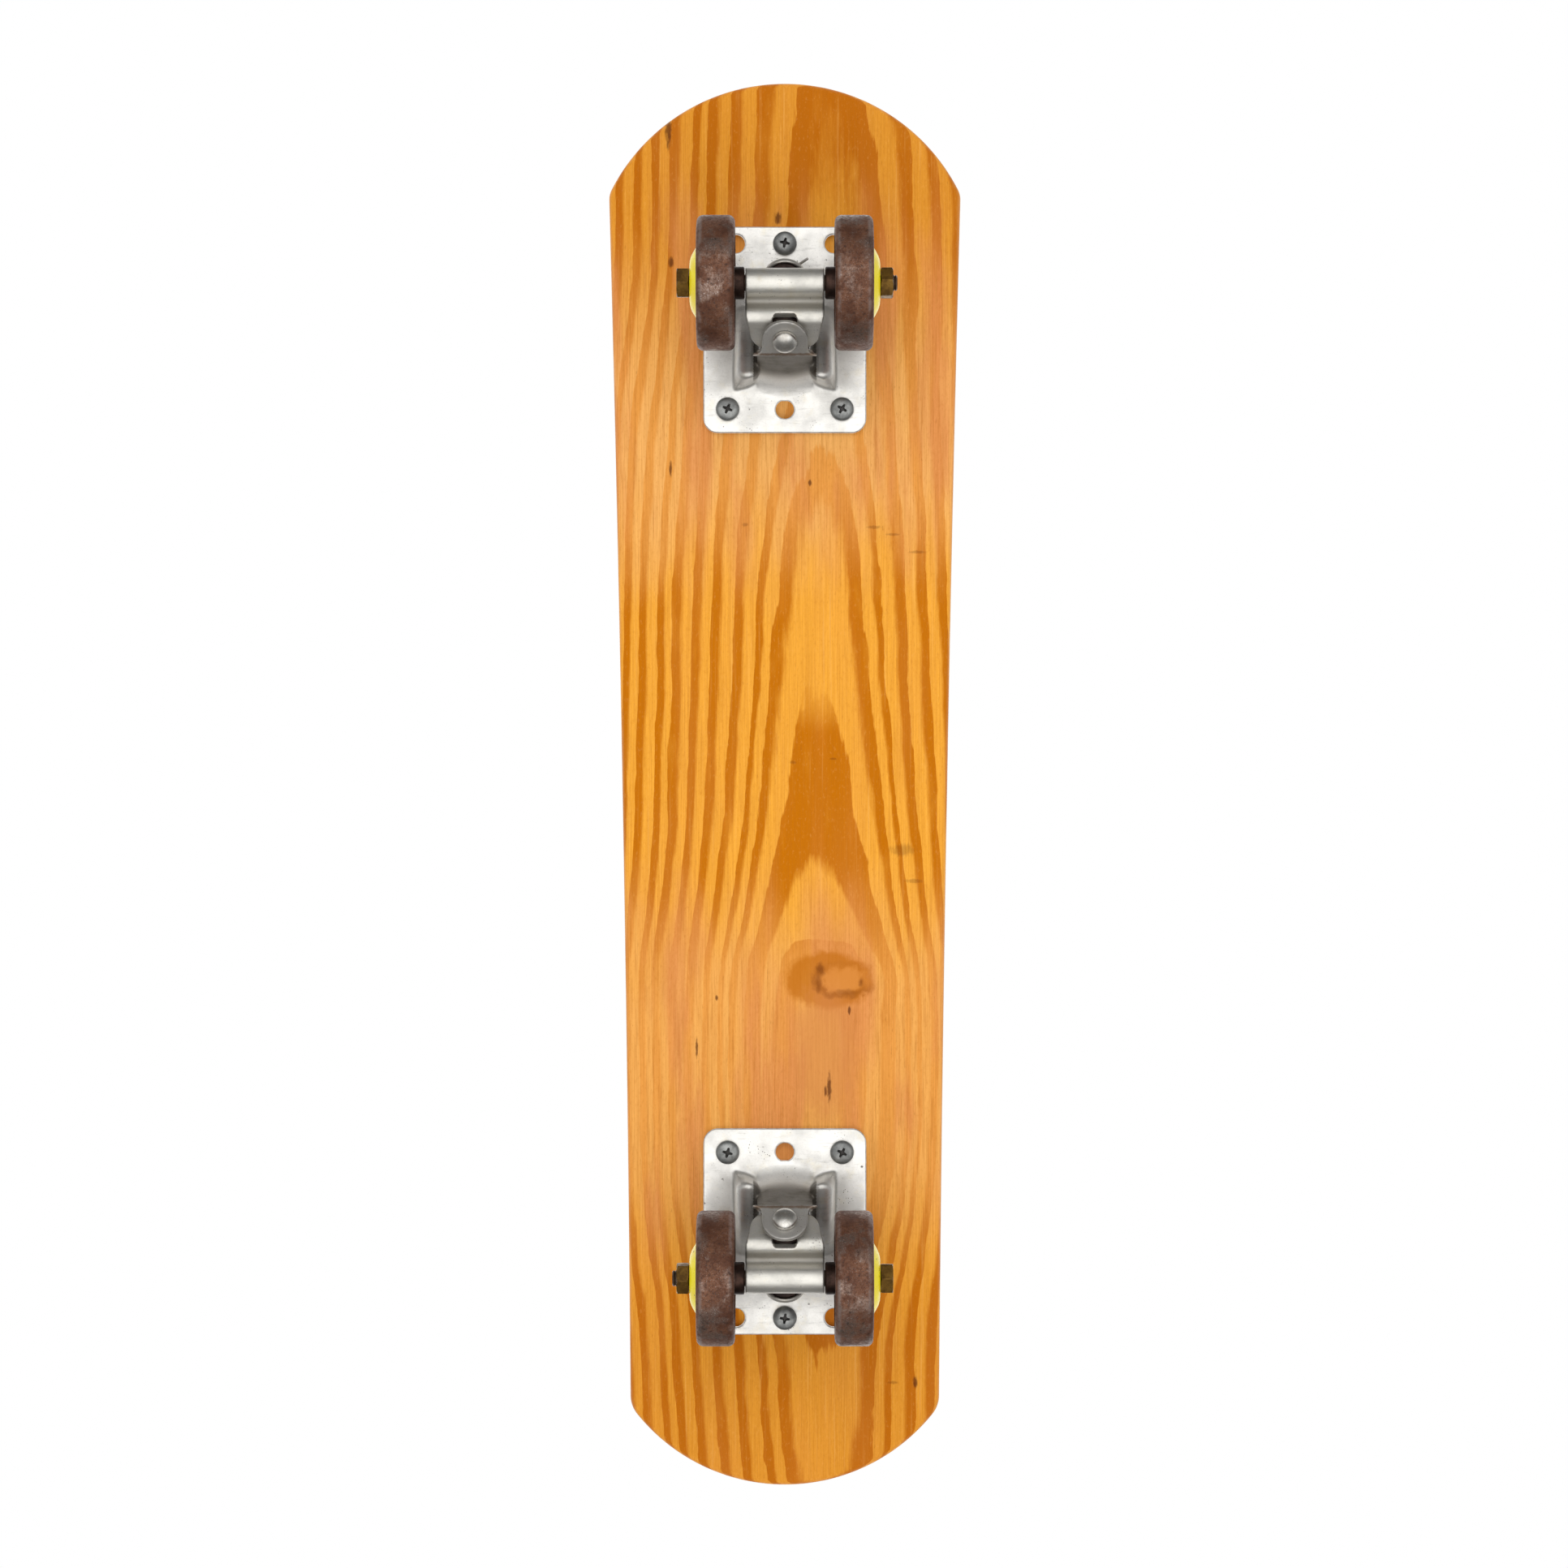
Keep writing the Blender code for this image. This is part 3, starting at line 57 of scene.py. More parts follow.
# Deck
DECK_LENGTH, DECK_THICKNESS, DECK_ROUND = mm(565.0, 19.0, 2.5)
NOSE_ARC, NOSE_CORNER = mm(78.5, 9.0)
TAIL_ARC, TAIL_CORNER = mm(76.5, 12.0)
WIDTHS = (mm(227.5, 70.6), mm(0.0, 65.5), mm(-237.5, 62.3))

# Trucks
AXLE_X = {"front": 197.0 * MM, "rear": -194.2 * MM}
AXLE_DROP, UNDERSIDE = mm(40.0, 66.5)
TAB_INWARD, TAB_DROP = mm(23.1, 43.3)
PIN_LEAN = math.radians(42.5)
AXLE_IN_PIN = Vector((
    (AXLE_DROP - TAB_DROP) * -math.sin(PIN_LEAN) - TAB_INWARD * math.cos(PIN_LEAN),
    0.0,
    TAB_INWARD * math.sin(PIN_LEAN) - (AXLE_DROP - TAB_DROP) * math.cos(PIN_LEAN),
))

# Base plate, with screw spots in millimetres and screw turns in degrees
PLATE_LENGTH, PLATE_WIDTH, PLATE_SHEET, PLATE_OUTWARD = mm(83.0, 65.6, 2.0, 27.3)
PLATE_CORNER, PLATE_HOLE = mm(6.0, 3.75)
PLATE_FACE = -GAP - PLATE_SHEET
SCREW_SPOTS = {"outer": (-20.4, 0.0), "inner_left": (46.2, 23.0), "inner_right": (46.2, -23.0)}
EMPTY_SPOTS = ((-20.4, 19.75), (-20.4, -19.75), (46.2, 0.0))
SCREW_TURNS = {
    "front": {"outer": 12, "inner_left": 22, "inner_right": 30},
    "rear": {"outer": 8, "inner_left": 27, "inner_right": 15},
}

# Pedestal: ribs, leaning wall, tab, and the window under them
RIB_DEPTH, RIB_TOE, RIB_TOP, RIB_HEIGHT, RIB_FOOT = mm(8.0, 4.4, 36.2, 28.0, 38.8)
RIB_BULGE, RIB_LOW_SIDE, RIB_HIGH_SIDE, RIB_DRAFT, RIB_SLANT, RIB_ROUND = mm(1.7, 9.8, 19.2, 1.3, 3.4, 4.2)
WALL_FOOT, WALL_BEND, WALL_HALF, WALL_BOW_TOP, WALL_BOW_FOOT = mm(36.3, 8.2, 10.9, 0.4, 2.0)
TAB_RADIUS, TAB_EDGE, TAB_FLARE, TAB_TIP, TAB_THICK_TIP, TAB_BACK = mm(9.0, 7.0, 3.3, 12.9, 7.6, 7.9)
CORNER_FOOT = (mm(38.9, 20.7), mm(31.5, 20.4), mm(36.4, 13.5))
CORNER_TIP, CORNER_HEIGHT, CORNER_TAPER = mm(36.7, 18.2), 13 * MM, 0.06
WINDOW_TOE, WINDOW_HEEL, WINDOW_HALF, WINDOW_CORNER = mm(5.9, 32.7, 7.6, 3.0)
PLATE_VOXEL = 0.45 * MM

# Hanger
HANGER_HALF, TUBE_RADIUS, SHEET, TONGUE_FACE = mm(15.5, 5.9, 2.0, 4.8)
RIDGE_BEND, VALLEY_BEND, WALL_FROM_TUBE = mm(4.6, 1.7, 0.25)
TONGUE_TIP, TONGUE_HALF, TONGUE_CORNER, TAPER_START = mm(7.3, 13.4, 6.5, 8.0)
SLOT_RADIUS, SLOT_CORNER, SLOT_REACH = mm(4.8, 3.0, 8.9)
ROLL_END = 52
HANGER_VOXEL = 0.38 * MM

# King pin and what it carries: heights along the pin, and each cushion's ends, radii and soft edge
PIN_RADIUS, PIN_HEAD, PIN_HEAD_HEIGHT, PIN_HEAD_RIM, PIN_END, PIN_CHAMFER = mm(3.2, 4.9, 3.3, 0.7, 50.75, 0.6)
CUP_SHEET, CUP_RADIUS, CUP_RIM, CUP_BEND, CUP_ROUND = mm(1.2, 8.6, 2.6, 0.5, 1.1)
WASHER_RADIUS, WASHER_SHEET = mm(5.8, 1.2)
COTTER_WIRE, COTTER_LEG, COTTER_SPLIT, EYE_RADIUS, EYE_WIRE, EYE_CENTRE = mm(0.85, 0.53, 4.4, 1.47, 0.5, -5.7)
COTTER_LEGS = (mm(10.9, 2.2), mm(7.4, -1.5))
COTTER_TURNS = {"front": 159, "rear": 0}
CUP_FACE, WASHER_FACE, COTTER_LINE = mm(43.0, 44.5, 46.85)
UPPER_CUSHION = (*mm(2.3, 4.5), mm(6.8, 6.8), 0.5 * MM)
LOWER_CUSHION = (*mm(7.1, 42.7), mm(5.8, 6.3, 7.2, 7.4, 7.0), 0.6 * MM)

# Screws, nuts and axle
SCREW_HEAD, SCREW_HEIGHT, SHANK_RADIUS, SHANK_LENGTH, SCREW_LENGTH = mm(4.75, 2.9, 2.2, 11.9, 15.9)
RECESS_TIP, RECESS_ROOT, RECESS_DEPTH = mm(2.45, 0.62, 1.7)
RECESS_TAPER = 0.50
AXLE_RADIUS, THREAD_PITCH, THREAD_DEPTH, THREAD_START, AXLE_CHAMFER = mm(3.175, 0.9, 0.42, 0.5, 0.6)
AXLE_PAST_NUT = mm(-0.4, 1.7)
NUT_HALF, NUT_THICKNESS, NUT_CHAMFER = mm(5.55, 4.8, 1.05)

# Wheels
WHEEL_RADIUS, HALF_TREAD, HALF_TRACK, OPENING = mm(26.5, 7.5, 27.1, 20.2)
TYRE_SHELL, TYRE_ROUND, TYRE_LIP = mm(1.7, 2.6, 0.5)
HUB_RADIUS, RACE_RADIUS, STOP_RADIUS, HALF_WEB, DISC_DISH = mm(9.8, 8.2, 5.7, 0.75, 1.6)
CAP_FACE = HALF_TREAD + 2.8 * MM
CAP_DEPTH, CAP_SHEET = mm(0.9, 0.7)
CAP_HOLE, CAP_FLAT, CAP_SLOPE, CAP_BRIM, CAP_EDGE = mm(5.1, 7.0, 10.4, 19.4, 19.9)
CONE_RADIUS, BALL_RADIUS, BALL_CIRCLE, BALL_OFFSET, CAGE_HALF = mm(6.4, 1.6, 6.3, 4.4, 0.45)
SIDES = {"front_left": -1, "front_right": 1, "rear_left": 1, "rear_right": -1}


# Shapes


def smooth(value, low, high):
    """0 at low and beyond, 1 at high and beyond."""
    t = min(max((value - low) / (high - low), 0.0), 1.0)
    return t * t * (3 - 2 * t)


def turn(degrees, axis):
    return Matrix.Rotation(math.radians(degrees), 4, axis)


def shift(x, y, z):
    return Matrix.Translation((x, y, z))


def arc(x, y, radius, start, end, steps):
    """Points along an arc, in degrees anticlockwise from +X."""
    angles = [math.radians(start + (end - start) * i / steps) for i in range(steps + 1)]
    return [(x + radius * math.cos(a), y + radius * math.sin(a)) for a in angles]


def mirrored(half):
    """A closed outline from its half on the +Y side."""
    return half + [(x, -y) for x, y in reversed(half) if abs(y) > 1e-7]


def turned(profile, steps, closed=True):
    """A solid spun about Z from (radius, height) points."""
    bm = bmesh.new()
    verts = [bm.verts.new((radius, 0, height)) for radius, height in profile]
    edges = [bm.edges.new(pair) for pair in zip(verts, verts[1:])]
    if closed:
        edges.append(bm.edges.new((verts[-1], verts[0])))
    bmesh.ops.spin(
        bm, geom=verts + edges, cent=(0, 0, 0), axis=(0, 0, 1), angle=2 * math.pi, steps=steps, use_merge=True
    )
    bmesh.ops.remove_doubles(bm, verts=bm.verts, dist=1e-6)
    bmesh.ops.recalc_face_normals(bm, faces=bm.faces)
    return bm


def prism(outline, low, high, along="Z"):
    """An outline drawn along Z, or along Y when its points are (x, z)."""
    bm = bmesh.new()
    if along == "Z":
        face = bm.faces.new([bm.verts.new((a, b, low)) for a, b in outline])
        rise = Vector((0, 0, high - low))
    else:
        face = bm.faces.new([bm.verts.new((a, low, b)) for a, b in outline])
        rise = Vector((0, high - low, 0))
    moved = bmesh.ops.extrude_face_region(bm, geom=[face])["geom"]
    bmesh.ops.translate(bm, vec=rise, verts=[v for v in moved if isinstance(v, bmesh.types.BMVert)])
    bmesh.ops.recalc_face_normals(bm, faces=bm.faces)
    return bm


def rod(radius, low, high, steps, place=None):
    """A plain cylinder along Z, or along the Z of a place."""
    bm = bmesh.new()
    middle = shift(0, 0, (low + high) / 2)
    bmesh.ops.create_cone(
        bm,
        cap_ends=True,
        segments=steps,
        radius1=radius,
        radius2=radius,
        depth=high - low,
        matrix=middle if place is None else place @ middle,
    )
    return bm


def placed(bm, matrix):
    bmesh.ops.transform(bm, matrix=matrix, verts=bm.verts)
    return bm


def bevelled(bm, edges, size, segments):
    bmesh.ops.bevel(bm, geom=edges, offset=size, segments=segments, profile=0.5, affect="EDGES", material=-1)
    return bm


def softened(bm, verts, times):
    for _ in range(times):
        bmesh.ops.smooth_vert(bm, verts=verts, factor=0.5, use_axis_x=True, use_axis_y=True, use_axis_z=True)
    return bm


def both(shapes):
    """Several shapes in one bmesh."""
    whole = shapes[0]
    for shape in shapes[1:]:
        held = bpy.data.meshes.new("held")
        shape.to_mesh(held)
        shape.free()
        whole.from_mesh(held)
        bpy.data.meshes.remove(held)
    return whole


def both_sides(build):
    other = build()
    bmesh.ops.scale(other, vec=(1, -1, 1), verts=other.verts)
    bmesh.ops.reverse_faces(other, faces=other.faces)
    return both([build(), other])


def as_object(bm, name):
    mesh = bpy.data.meshes.new(name)
    bmesh.ops.recalc_face_normals(bm, faces=bm.faces)
    bm.to_mesh(mesh)
    bm.free()
    made = bpy.data.objects.new(name, mesh)
    bpy.context.scene.collection.objects.link(made)
    return made


def carved(bm, tools, voxel=0.0):
    """A bmesh after exact Booleans, and then, for pressed sheet, remeshed in fine voxels."""
    target = as_object(bm, "target")
    helpers = []
    for operation, shape in tools:
        helper = as_object(shape, "tool")
        helpers.append(helper)
        step = target.modifiers.new("cut", "BOOLEAN")
        step.operation = operation
        step.solver = "EXACT"
        step.object = helper
    if voxel:
        step = target.modifiers.new("remesh", "REMESH")
        step.mode = "VOXEL"
        step.voxel_size = voxel
    bpy.context.view_layer.update()
    graph = bpy.context.evaluated_depsgraph_get()
    mesh = bpy.data.meshes.new_from_object(target.evaluated_get(graph))
    for used in [target, *helpers]:
        bpy.data.objects.remove(used)
    made = bmesh.new()
    made.from_mesh(mesh)
    bpy.data.meshes.remove(mesh)
    return made


# Deck


def side_half_width(x):
    """The deck's half width at x, on the curve through its three given widths."""
    total = 0.0
    for here, width in WIDTHS:
        share = width
        for other, _ in WIDTHS:
            if other != here:
                share *= (x - other) / (here - other)
        total += share
    return total


def corner_centre(arc_centre, arc_radius, corner, end):
    """The centre of the round corner between an end's arc and the side."""
    x = arc_centre
    for _ in range(12):
        y = side_half_width(x) - corner
        x = arc_centre + end * math.sqrt(max((arc_radius - corner) ** 2 - y * y, 0.0))
    return x, side_half_width(x) - corner


def deck_shape():
    """The plank, with its rounded edges."""
    nose = DECK_LENGTH / 2 - NOSE_ARC
    tail = TAIL_ARC - DECK_LENGTH / 2
    nose_x, nose_y = corner_centre(nose, NOSE_ARC, NOSE_CORNER, 1)
    tail_x, tail_y = corner_centre(tail, TAIL_ARC, TAIL_CORNER, -1)
    nose_turn = math.degrees(math.atan2(nose_y, nose_x - nose))
    tail_turn = math.degrees(math.atan2(tail_y, tail_x - tail))
    half = arc(nose, 0, NOSE_ARC, 0, nose_turn, 48)
    half += arc(nose_x, nose_y, NOSE_CORNER, nose_turn, 90, 8)[1:]
    for i in range(1, 30):
        x = nose_x + (tail_x - nose_x) * i / 30
        half.append((x, side_half_width(x)))
    half += arc(tail_x, tail_y, TAIL_CORNER, 90, tail_turn, 8)
    half += arc(tail, 0, TAIL_ARC, tail_turn, 180, 44)[1:]
    bm = prism(mirrored(half), UNDERSIDE, UNDERSIDE + DECK_THICKNESS)
    flat = [e for e in bm.edges if abs(e.verts[0].co.z - e.verts[1].co.z) < 1e-6]
    return bevelled(bm, flat, DECK_ROUND, 6)


# Base plate


def inset(outline, distance):
    """A convex clockwise outline moved inwards."""
    moved = []
    count = len(outline)
    for i in range(count):
        before, here, after = (Vector(outline[(i + k) % count]) for k in (-1, 0, 1))
        first = (here - before).normalized()
        second = (after - here).normalized()
        inward = Vector((first.y, -first.x)) + Vector((second.y, -second.x))
        moved.append(tuple(here + inward * distance / (1 + first.dot(second))))
    return moved


def rib_shape(sheet, open_to):
    """One drawn rib of the pedestal, set in by the sheet's thickness."""
    toe = Vector((RIB_TOE, PLATE_FACE))
    top = Vector((RIB_TOP, -RIB_HEIGHT))
    crest = top - toe
    bulge = toe + crest / 2 + Vector((crest.y, -crest.x)).normalized() * RIB_BULGE
    start = bulge - toe
    lean = (RIB_FOOT - top.x) / (PLATE_FACE - top.y)
    foot = RIB_FOOT + (RIB_DEPTH - PLATE_FACE) * lean
    behind = toe.x + start.x / start.y * (RIB_DEPTH - PLATE_FACE)
    outline = [(behind, RIB_DEPTH), (foot, RIB_DEPTH), tuple(top), tuple(bulge)]
    low = RIB_LOW_SIDE + sheet
    high = RIB_HIGH_SIDE - sheet
    bm = prism(inset(outline, sheet), low, high, "Y")
    spread = (RIB_DEPTH - top.y) / (PLATE_FACE - top.y)
    for vert in bm.verts:
        if vert.co.z > 0 and vert.co.y > (low + high) / 2:
            vert.co.y += RIB_DRAFT * spread
        elif vert.co.z > 0 and vert.co.x > top.x - 2 * sheet:
            vert.co.x -= RIB_SLANT * spread
    rounded = [e for e in bm.edges if min(v.co.z for v in e.verts) < 0]
    bevelled(bm, rounded, RIB_ROUND - sheet, 8)
    geom = bm.verts[:] + bm.edges[:] + bm.faces[:]
    level = (0, 0, open_to)
    cut = bmesh.ops.bisect_plane(bm, geom=geom, plane_co=level, plane_no=(0, 0, 1), clear_outer=True)
    bmesh.ops.edgeloop_fill(bm, edges=[e for e in cut["geom_cut"] if isinstance(e, bmesh.types.BMEdge)])
    return bm


def rib_corner():
    """The sharp outer corner of a rib's foot, which runs out a little way up the heel."""
    low = PLATE_FACE + SPARE
    tip_x, tip_y = CORNER_TIP
    corner = prism(CORNER_FOOT, -CORNER_HEIGHT, low)
    for vert in corner.verts:
        if vert.co.z < low - SPARE:
            vert.co.x = tip_x + (vert.co.x - tip_x) * CORNER_TAPER
            vert.co.y = tip_y + (vert.co.y - tip_y) * CORNER_TAPER
    return corner


def pin_place():
    """The king pin's frame within a truck's frame: +Z down the pin from its head."""
    return shift(TAB_INWARD, 0, -TAB_DROP) @ Matrix.Rotation(-PIN_LEAN, 4, "Y")


def wall_shape(edge, middle):
    """The wall that leans from its foot in the sheet to the tab's edge, bowed a little towards its foot."""
    rise = Vector((edge.x - WALL_FOOT, edge.z - PLATE_FACE))
    steep = math.degrees(math.atan2(-rise.y, -rise.x))
    centre_x = WALL_FOOT + WALL_BEND * math.tan(math.radians(steep / 2))
    fillet = arc(centre_x, PLATE_FACE - WALL_BEND, WALL_BEND, 90, 90 + steep, 16)
    back = Vector((rise.y, -rise.x)).normalized() * PLATE_SHEET
    back_top = (edge.x + back.x, edge.z + back.y)
    drop = (middle - back_top[1]) / -rise.y
    outline = [(edge.x, edge.z), back_top, (back_top[0] - rise.x * drop, middle), (centre_x, middle)]
    wall = prism(outline + fillet, -WALL_HALF, WALL_HALF, "Y")
    for i in range(-4, 5):
        geom = wall.verts[:] + wall.edges[:] + wall.faces[:]
        bmesh.ops.bisect_plane(wall, geom=geom, plane_co=(0, i * WALL_HALF / 5, 0), plane_no=(0, 1, 0))
    for vert in wall.verts:
        low = smooth(vert.co.z, edge.z, PLATE_FACE)
        vert.co.x -= (WALL_BOW_TOP + WALL_BOW_FOOT * low) * (vert.co.y / WALL_HALF) ** 2
    return wall


def tab_shape():
    """The tab round the king pin, with its round nose and flared tips."""
    half = arc(0, 0, TAB_RADIUS, 180, 90, 24)
    half += arc(TAB_EDGE - TAB_FLARE, TAB_RADIUS + TAB_FLARE, TAB_FLARE, -90, 0, 8)
    half += [(TAB_EDGE, TAB_TIP), (TAB_THICK_TIP, TAB_TIP), (TAB_BACK, 12.0 * MM)]
    tab = placed(prism(mirrored(half), 0, PLATE_SHEET), pin_place())
    hole = rod(PIN_RADIUS + GAP, -SPARE, PLATE_SHEET + SPARE, 32, pin_place())
    return carved(tab, [("DIFFERENCE", hole)])


def soften_foot(bm):
    """The press leaves a soft bend where the ribs rise from the sheet."""
    near = []
    for vert in bm.verts:
        x, y, z = vert.co / MM
        at_side = abs(abs(y) - 20.6) < 2.6 and 6 < x < 39
        at_heel = 33 < x < 41.5 and 9 < abs(y) < 22.5
        if -6.5 < z < -1.4 and (at_side or at_heel):
            near.append(vert)
    softened(bm, near, 14)


def base_plate_shape():
    """The pressed plate with its drawn ribs, lanced wall and tab, window and holes."""
    outer = -PLATE_OUTWARD
    inner = outer + PLATE_LENGTH
    r, c = PLATE_CORNER, WINDOW_CORNER
    half = arc(inner - r, PLATE_WIDTH / 2 - r, r, 0, 90, 10)
    half += arc(outer + r, PLATE_WIDTH / 2 - r, r, 90, 180, 10)
    sheet = prism(mirrored(half), PLATE_FACE, -GAP)
    holes = []
    for x, y in [*SCREW_SPOTS.values(), *EMPTY_SPOTS]:
        holes.append(rod(PLATE_HOLE, PLATE_FACE - SPARE, SPARE, 40, shift(x * MM, y * MM, 0)))
    half = arc(WINDOW_TOE + c, WINDOW_HALF - c, c, 180, 90, 6)
    half += arc(WINDOW_HEEL - c, WINDOW_HALF - c, c, 90, 0, 6)
    window = prism(mirrored(half), PLATE_FACE - SPARE, SPARE)
    middle = PLATE_FACE + PLATE_SHEET / 2
    wall = wall_shape(pin_place() @ Vector((TAB_EDGE, 0, 0)), middle)
    tab = tab_shape()
    hollows = both_sides(lambda: rib_shape(PLATE_SHEET, SPARE))
    tools = [
        ("UNION", both_sides(lambda: rib_shape(0.0, middle))),
        ("UNION", both_sides(rib_corner)),
        ("DIFFERENCE", both([hollows, window, *holes])),
    ]
    bm = carved(both([carved(sheet, tools), wall, tab]), [], voxel=PLATE_VOXEL)
    soften_foot(bm)
    return softened(bm, bm.verts, 2)


# Hanger


def hanger_shape():
    """The stamped hanger: tongue, ridge, wall, and the roll round the axle."""
    ax, az = AXLE_IN_PIN.x, AXLE_IN_PIN.z
    wall_out = ax + TUBE_RADIUS - WALL_FROM_TUBE
    wall_in = wall_out + SHEET
    bend_x, bend_z = wall_out + RIDGE_BEND, TONGUE_FACE + RIDGE_BEND
    valley_x = wall_out - VALLEY_BEND
    valley_z = az - math.sqrt((TUBE_RADIUS + VALLEY_BEND) ** 2 - (valley_x - ax) ** 2)
    to_tube = math.degrees(math.atan2(az - valley_z, ax - valley_x))
    outline = [(TONGUE_TIP, TONGUE_FACE)]
    outline += arc(bend_x, bend_z, RIDGE_BEND, 270, 180, 12)
    outline += arc(valley_x, valley_z, VALLEY_BEND, 0, to_tube, 10)
    outline += arc(ax, az, TUBE_RADIUS, to_tube - 180, ROLL_END - 360, 48)[1:]
    outline += arc(ax, az, wall_in - ax, ROLL_END, 0, 8)
    outline += arc(bend_x, bend_z, RIDGE_BEND - SHEET, 180, 270, 6)
    outline.append((TONGUE_TIP, TONGUE_FACE + SHEET))
    body = prism(outline, -HANGER_HALF, HANGER_HALF, "Y")
    along = Matrix.Translation(AXLE_IN_PIN) @ turn(90, "X")
    bore = rod(AXLE_RADIUS + GAP, -17 * MM, 17 * MM, 32, along)
    spare = 3 * MM
    corner = TONGUE_TIP - TONGUE_CORNER
    slant = (HANGER_HALF - TONGUE_HALF) / (corner + TAPER_START)
    back, front, far = -TAPER_START - spare, TONGUE_TIP + spare, HANGER_HALF + spare
    half = [(back, HANGER_HALF + slant * spare)]
    taper = 90 - math.degrees(math.atan(slant))
    half += arc(corner, TONGUE_HALF - TONGUE_CORNER, TONGUE_CORNER, taper, 0, 12)
    around = [(back, -far), (front, -far), (front, far), (back, far)]
    trim = prism(mirrored(half) + around, TONGUE_FACE - spare, TONGUE_FACE + SHEET + spare)
    half = arc(0, 0, SLOT_RADIUS, 0, 90, 16)
    half += arc(SLOT_CORNER - SLOT_REACH, SLOT_RADIUS - SLOT_CORNER, SLOT_CORNER, 90, 180, 8)
    slot = prism(mirrored(half), TONGUE_FACE - SPARE, TONGUE_FACE + SHEET + 0.3 * MM)
    tools = [("DIFFERENCE", both([bore, trim])), ("DIFFERENCE", slot)]
    made = carved(body, tools, voxel=HANGER_VOXEL)
    return softened(made, made.verts, 2)


# King pin and what it carries


def king_pin_shape():
    """The pin with its domed head, pointing along +Z from the head."""
    face = -GAP
    profile = [(0.0, face - PIN_HEAD_HEIGHT)]
    for angle in range(81, -1, -9):
        a = math.radians(angle)
        rise = PIN_HEAD_RIM + (PIN_HEAD_HEIGHT - PIN_HEAD_RIM) * math.sin(a)
        profile.append((PIN_HEAD * math.cos(a), face - rise))
    profile += [(PIN_HEAD, face), (PIN_RADIUS, face), (PIN_RADIUS, PIN_END - PIN_CHAMFER)]
    profile += [(PIN_RADIUS - PIN_CHAMFER, PIN_END), (0.0, PIN_END)]
    return turned(profile, 48, closed=False)


def cushion_shape(top, foot, widths, soft):
    """A rubber barrel about the king pin, from its radii along its length."""
    bore = PIN_RADIUS + GAP
    steps = 24
    profile = [(bore, top)]
    profile += arc(widths[0] - soft, top + soft, soft, -90, 0, 4)
    for i in range(1, steps):
        share = i / steps * (len(widths) - 1)
        k = min(int(share), len(widths) - 2)
        t = smooth(share, k, k + 1)
        radius = widths[k] * (1 - t) + widths[k + 1] * t
        profile.append((radius, top + soft + (foot - top - 2 * soft) * i / steps))
    profile += arc(widths[-1] - soft, foot - soft, soft, 0, 90, 4)
    profile.append((bore, foot))
    return turned(profile, 48)


def cup_washer_shape(face):
    """The dished washer, with its rim turned back round the lower cushion."""
    back = face + CUP_SHEET
    half = CUP_SHEET / 2
    bore = PIN_RADIUS + GAP
    profile = [(bore, face)]
    profile += arc(CUP_RADIUS - CUP_SHEET - CUP_BEND, face - CUP_BEND, CUP_BEND, 90, 0, 4)
    profile += arc(CUP_RADIUS - half, back - CUP_RIM + half, half, 180, 360, 6)
    profile += arc(CUP_RADIUS - CUP_ROUND, back - CUP_ROUND, CUP_ROUND, 0, 90, 5)
    profile.append((bore, back))
    return turned(profile, 64)


def flat_washer_shape(face):
    bore, back = PIN_RADIUS + GAP, face + WASHER_SHEET
    bm = turned([(bore, face), (WASHER_RADIUS, face), (WASHER_RADIUS, back), (bore, back)], 48)
    return bevelled(bm, [e for e in bm.edges if e.calc_face_angle(0) > 1.0], 0.2 * MM, 2)


def cotter_pin_shape(line):
    """The split pin: an eye, a shank, and two legs sprung apart."""
    ring = turned(arc(EYE_RADIUS, 0, EYE_WIRE, 0, 360, 10)[:-1], 28)
    eye = placed(ring, shift(0, 0, EYE_CENTRE) @ turn(90, "X"))
    pieces = [rod(COTTER_WIRE, -3.8 * MM, COTTER_SPLIT, 16), eye]
    for reach, spread in COTTER_LEGS:
        run = Vector((spread, 0, reach - COTTER_SPLIT))
        at = shift(0, 0, COTTER_SPLIT - COTTER_WIRE) @ run.to_track_quat("Z", "Y").to_matrix().to_4x4()
        leg = rod(COTTER_LEG, 0, run.length + COTTER_WIRE, 16, at)
        ends = [e for e in leg.edges if len(e.link_faces) == 2 and e.calc_face_angle(0) > 1.2]
        pieces.append(bevelled(leg, ends, 0.15 * MM, 2))
    return placed(both(pieces), shift(0, 0, line) @ turn(-90, "X"))


# Screws, nuts and axle


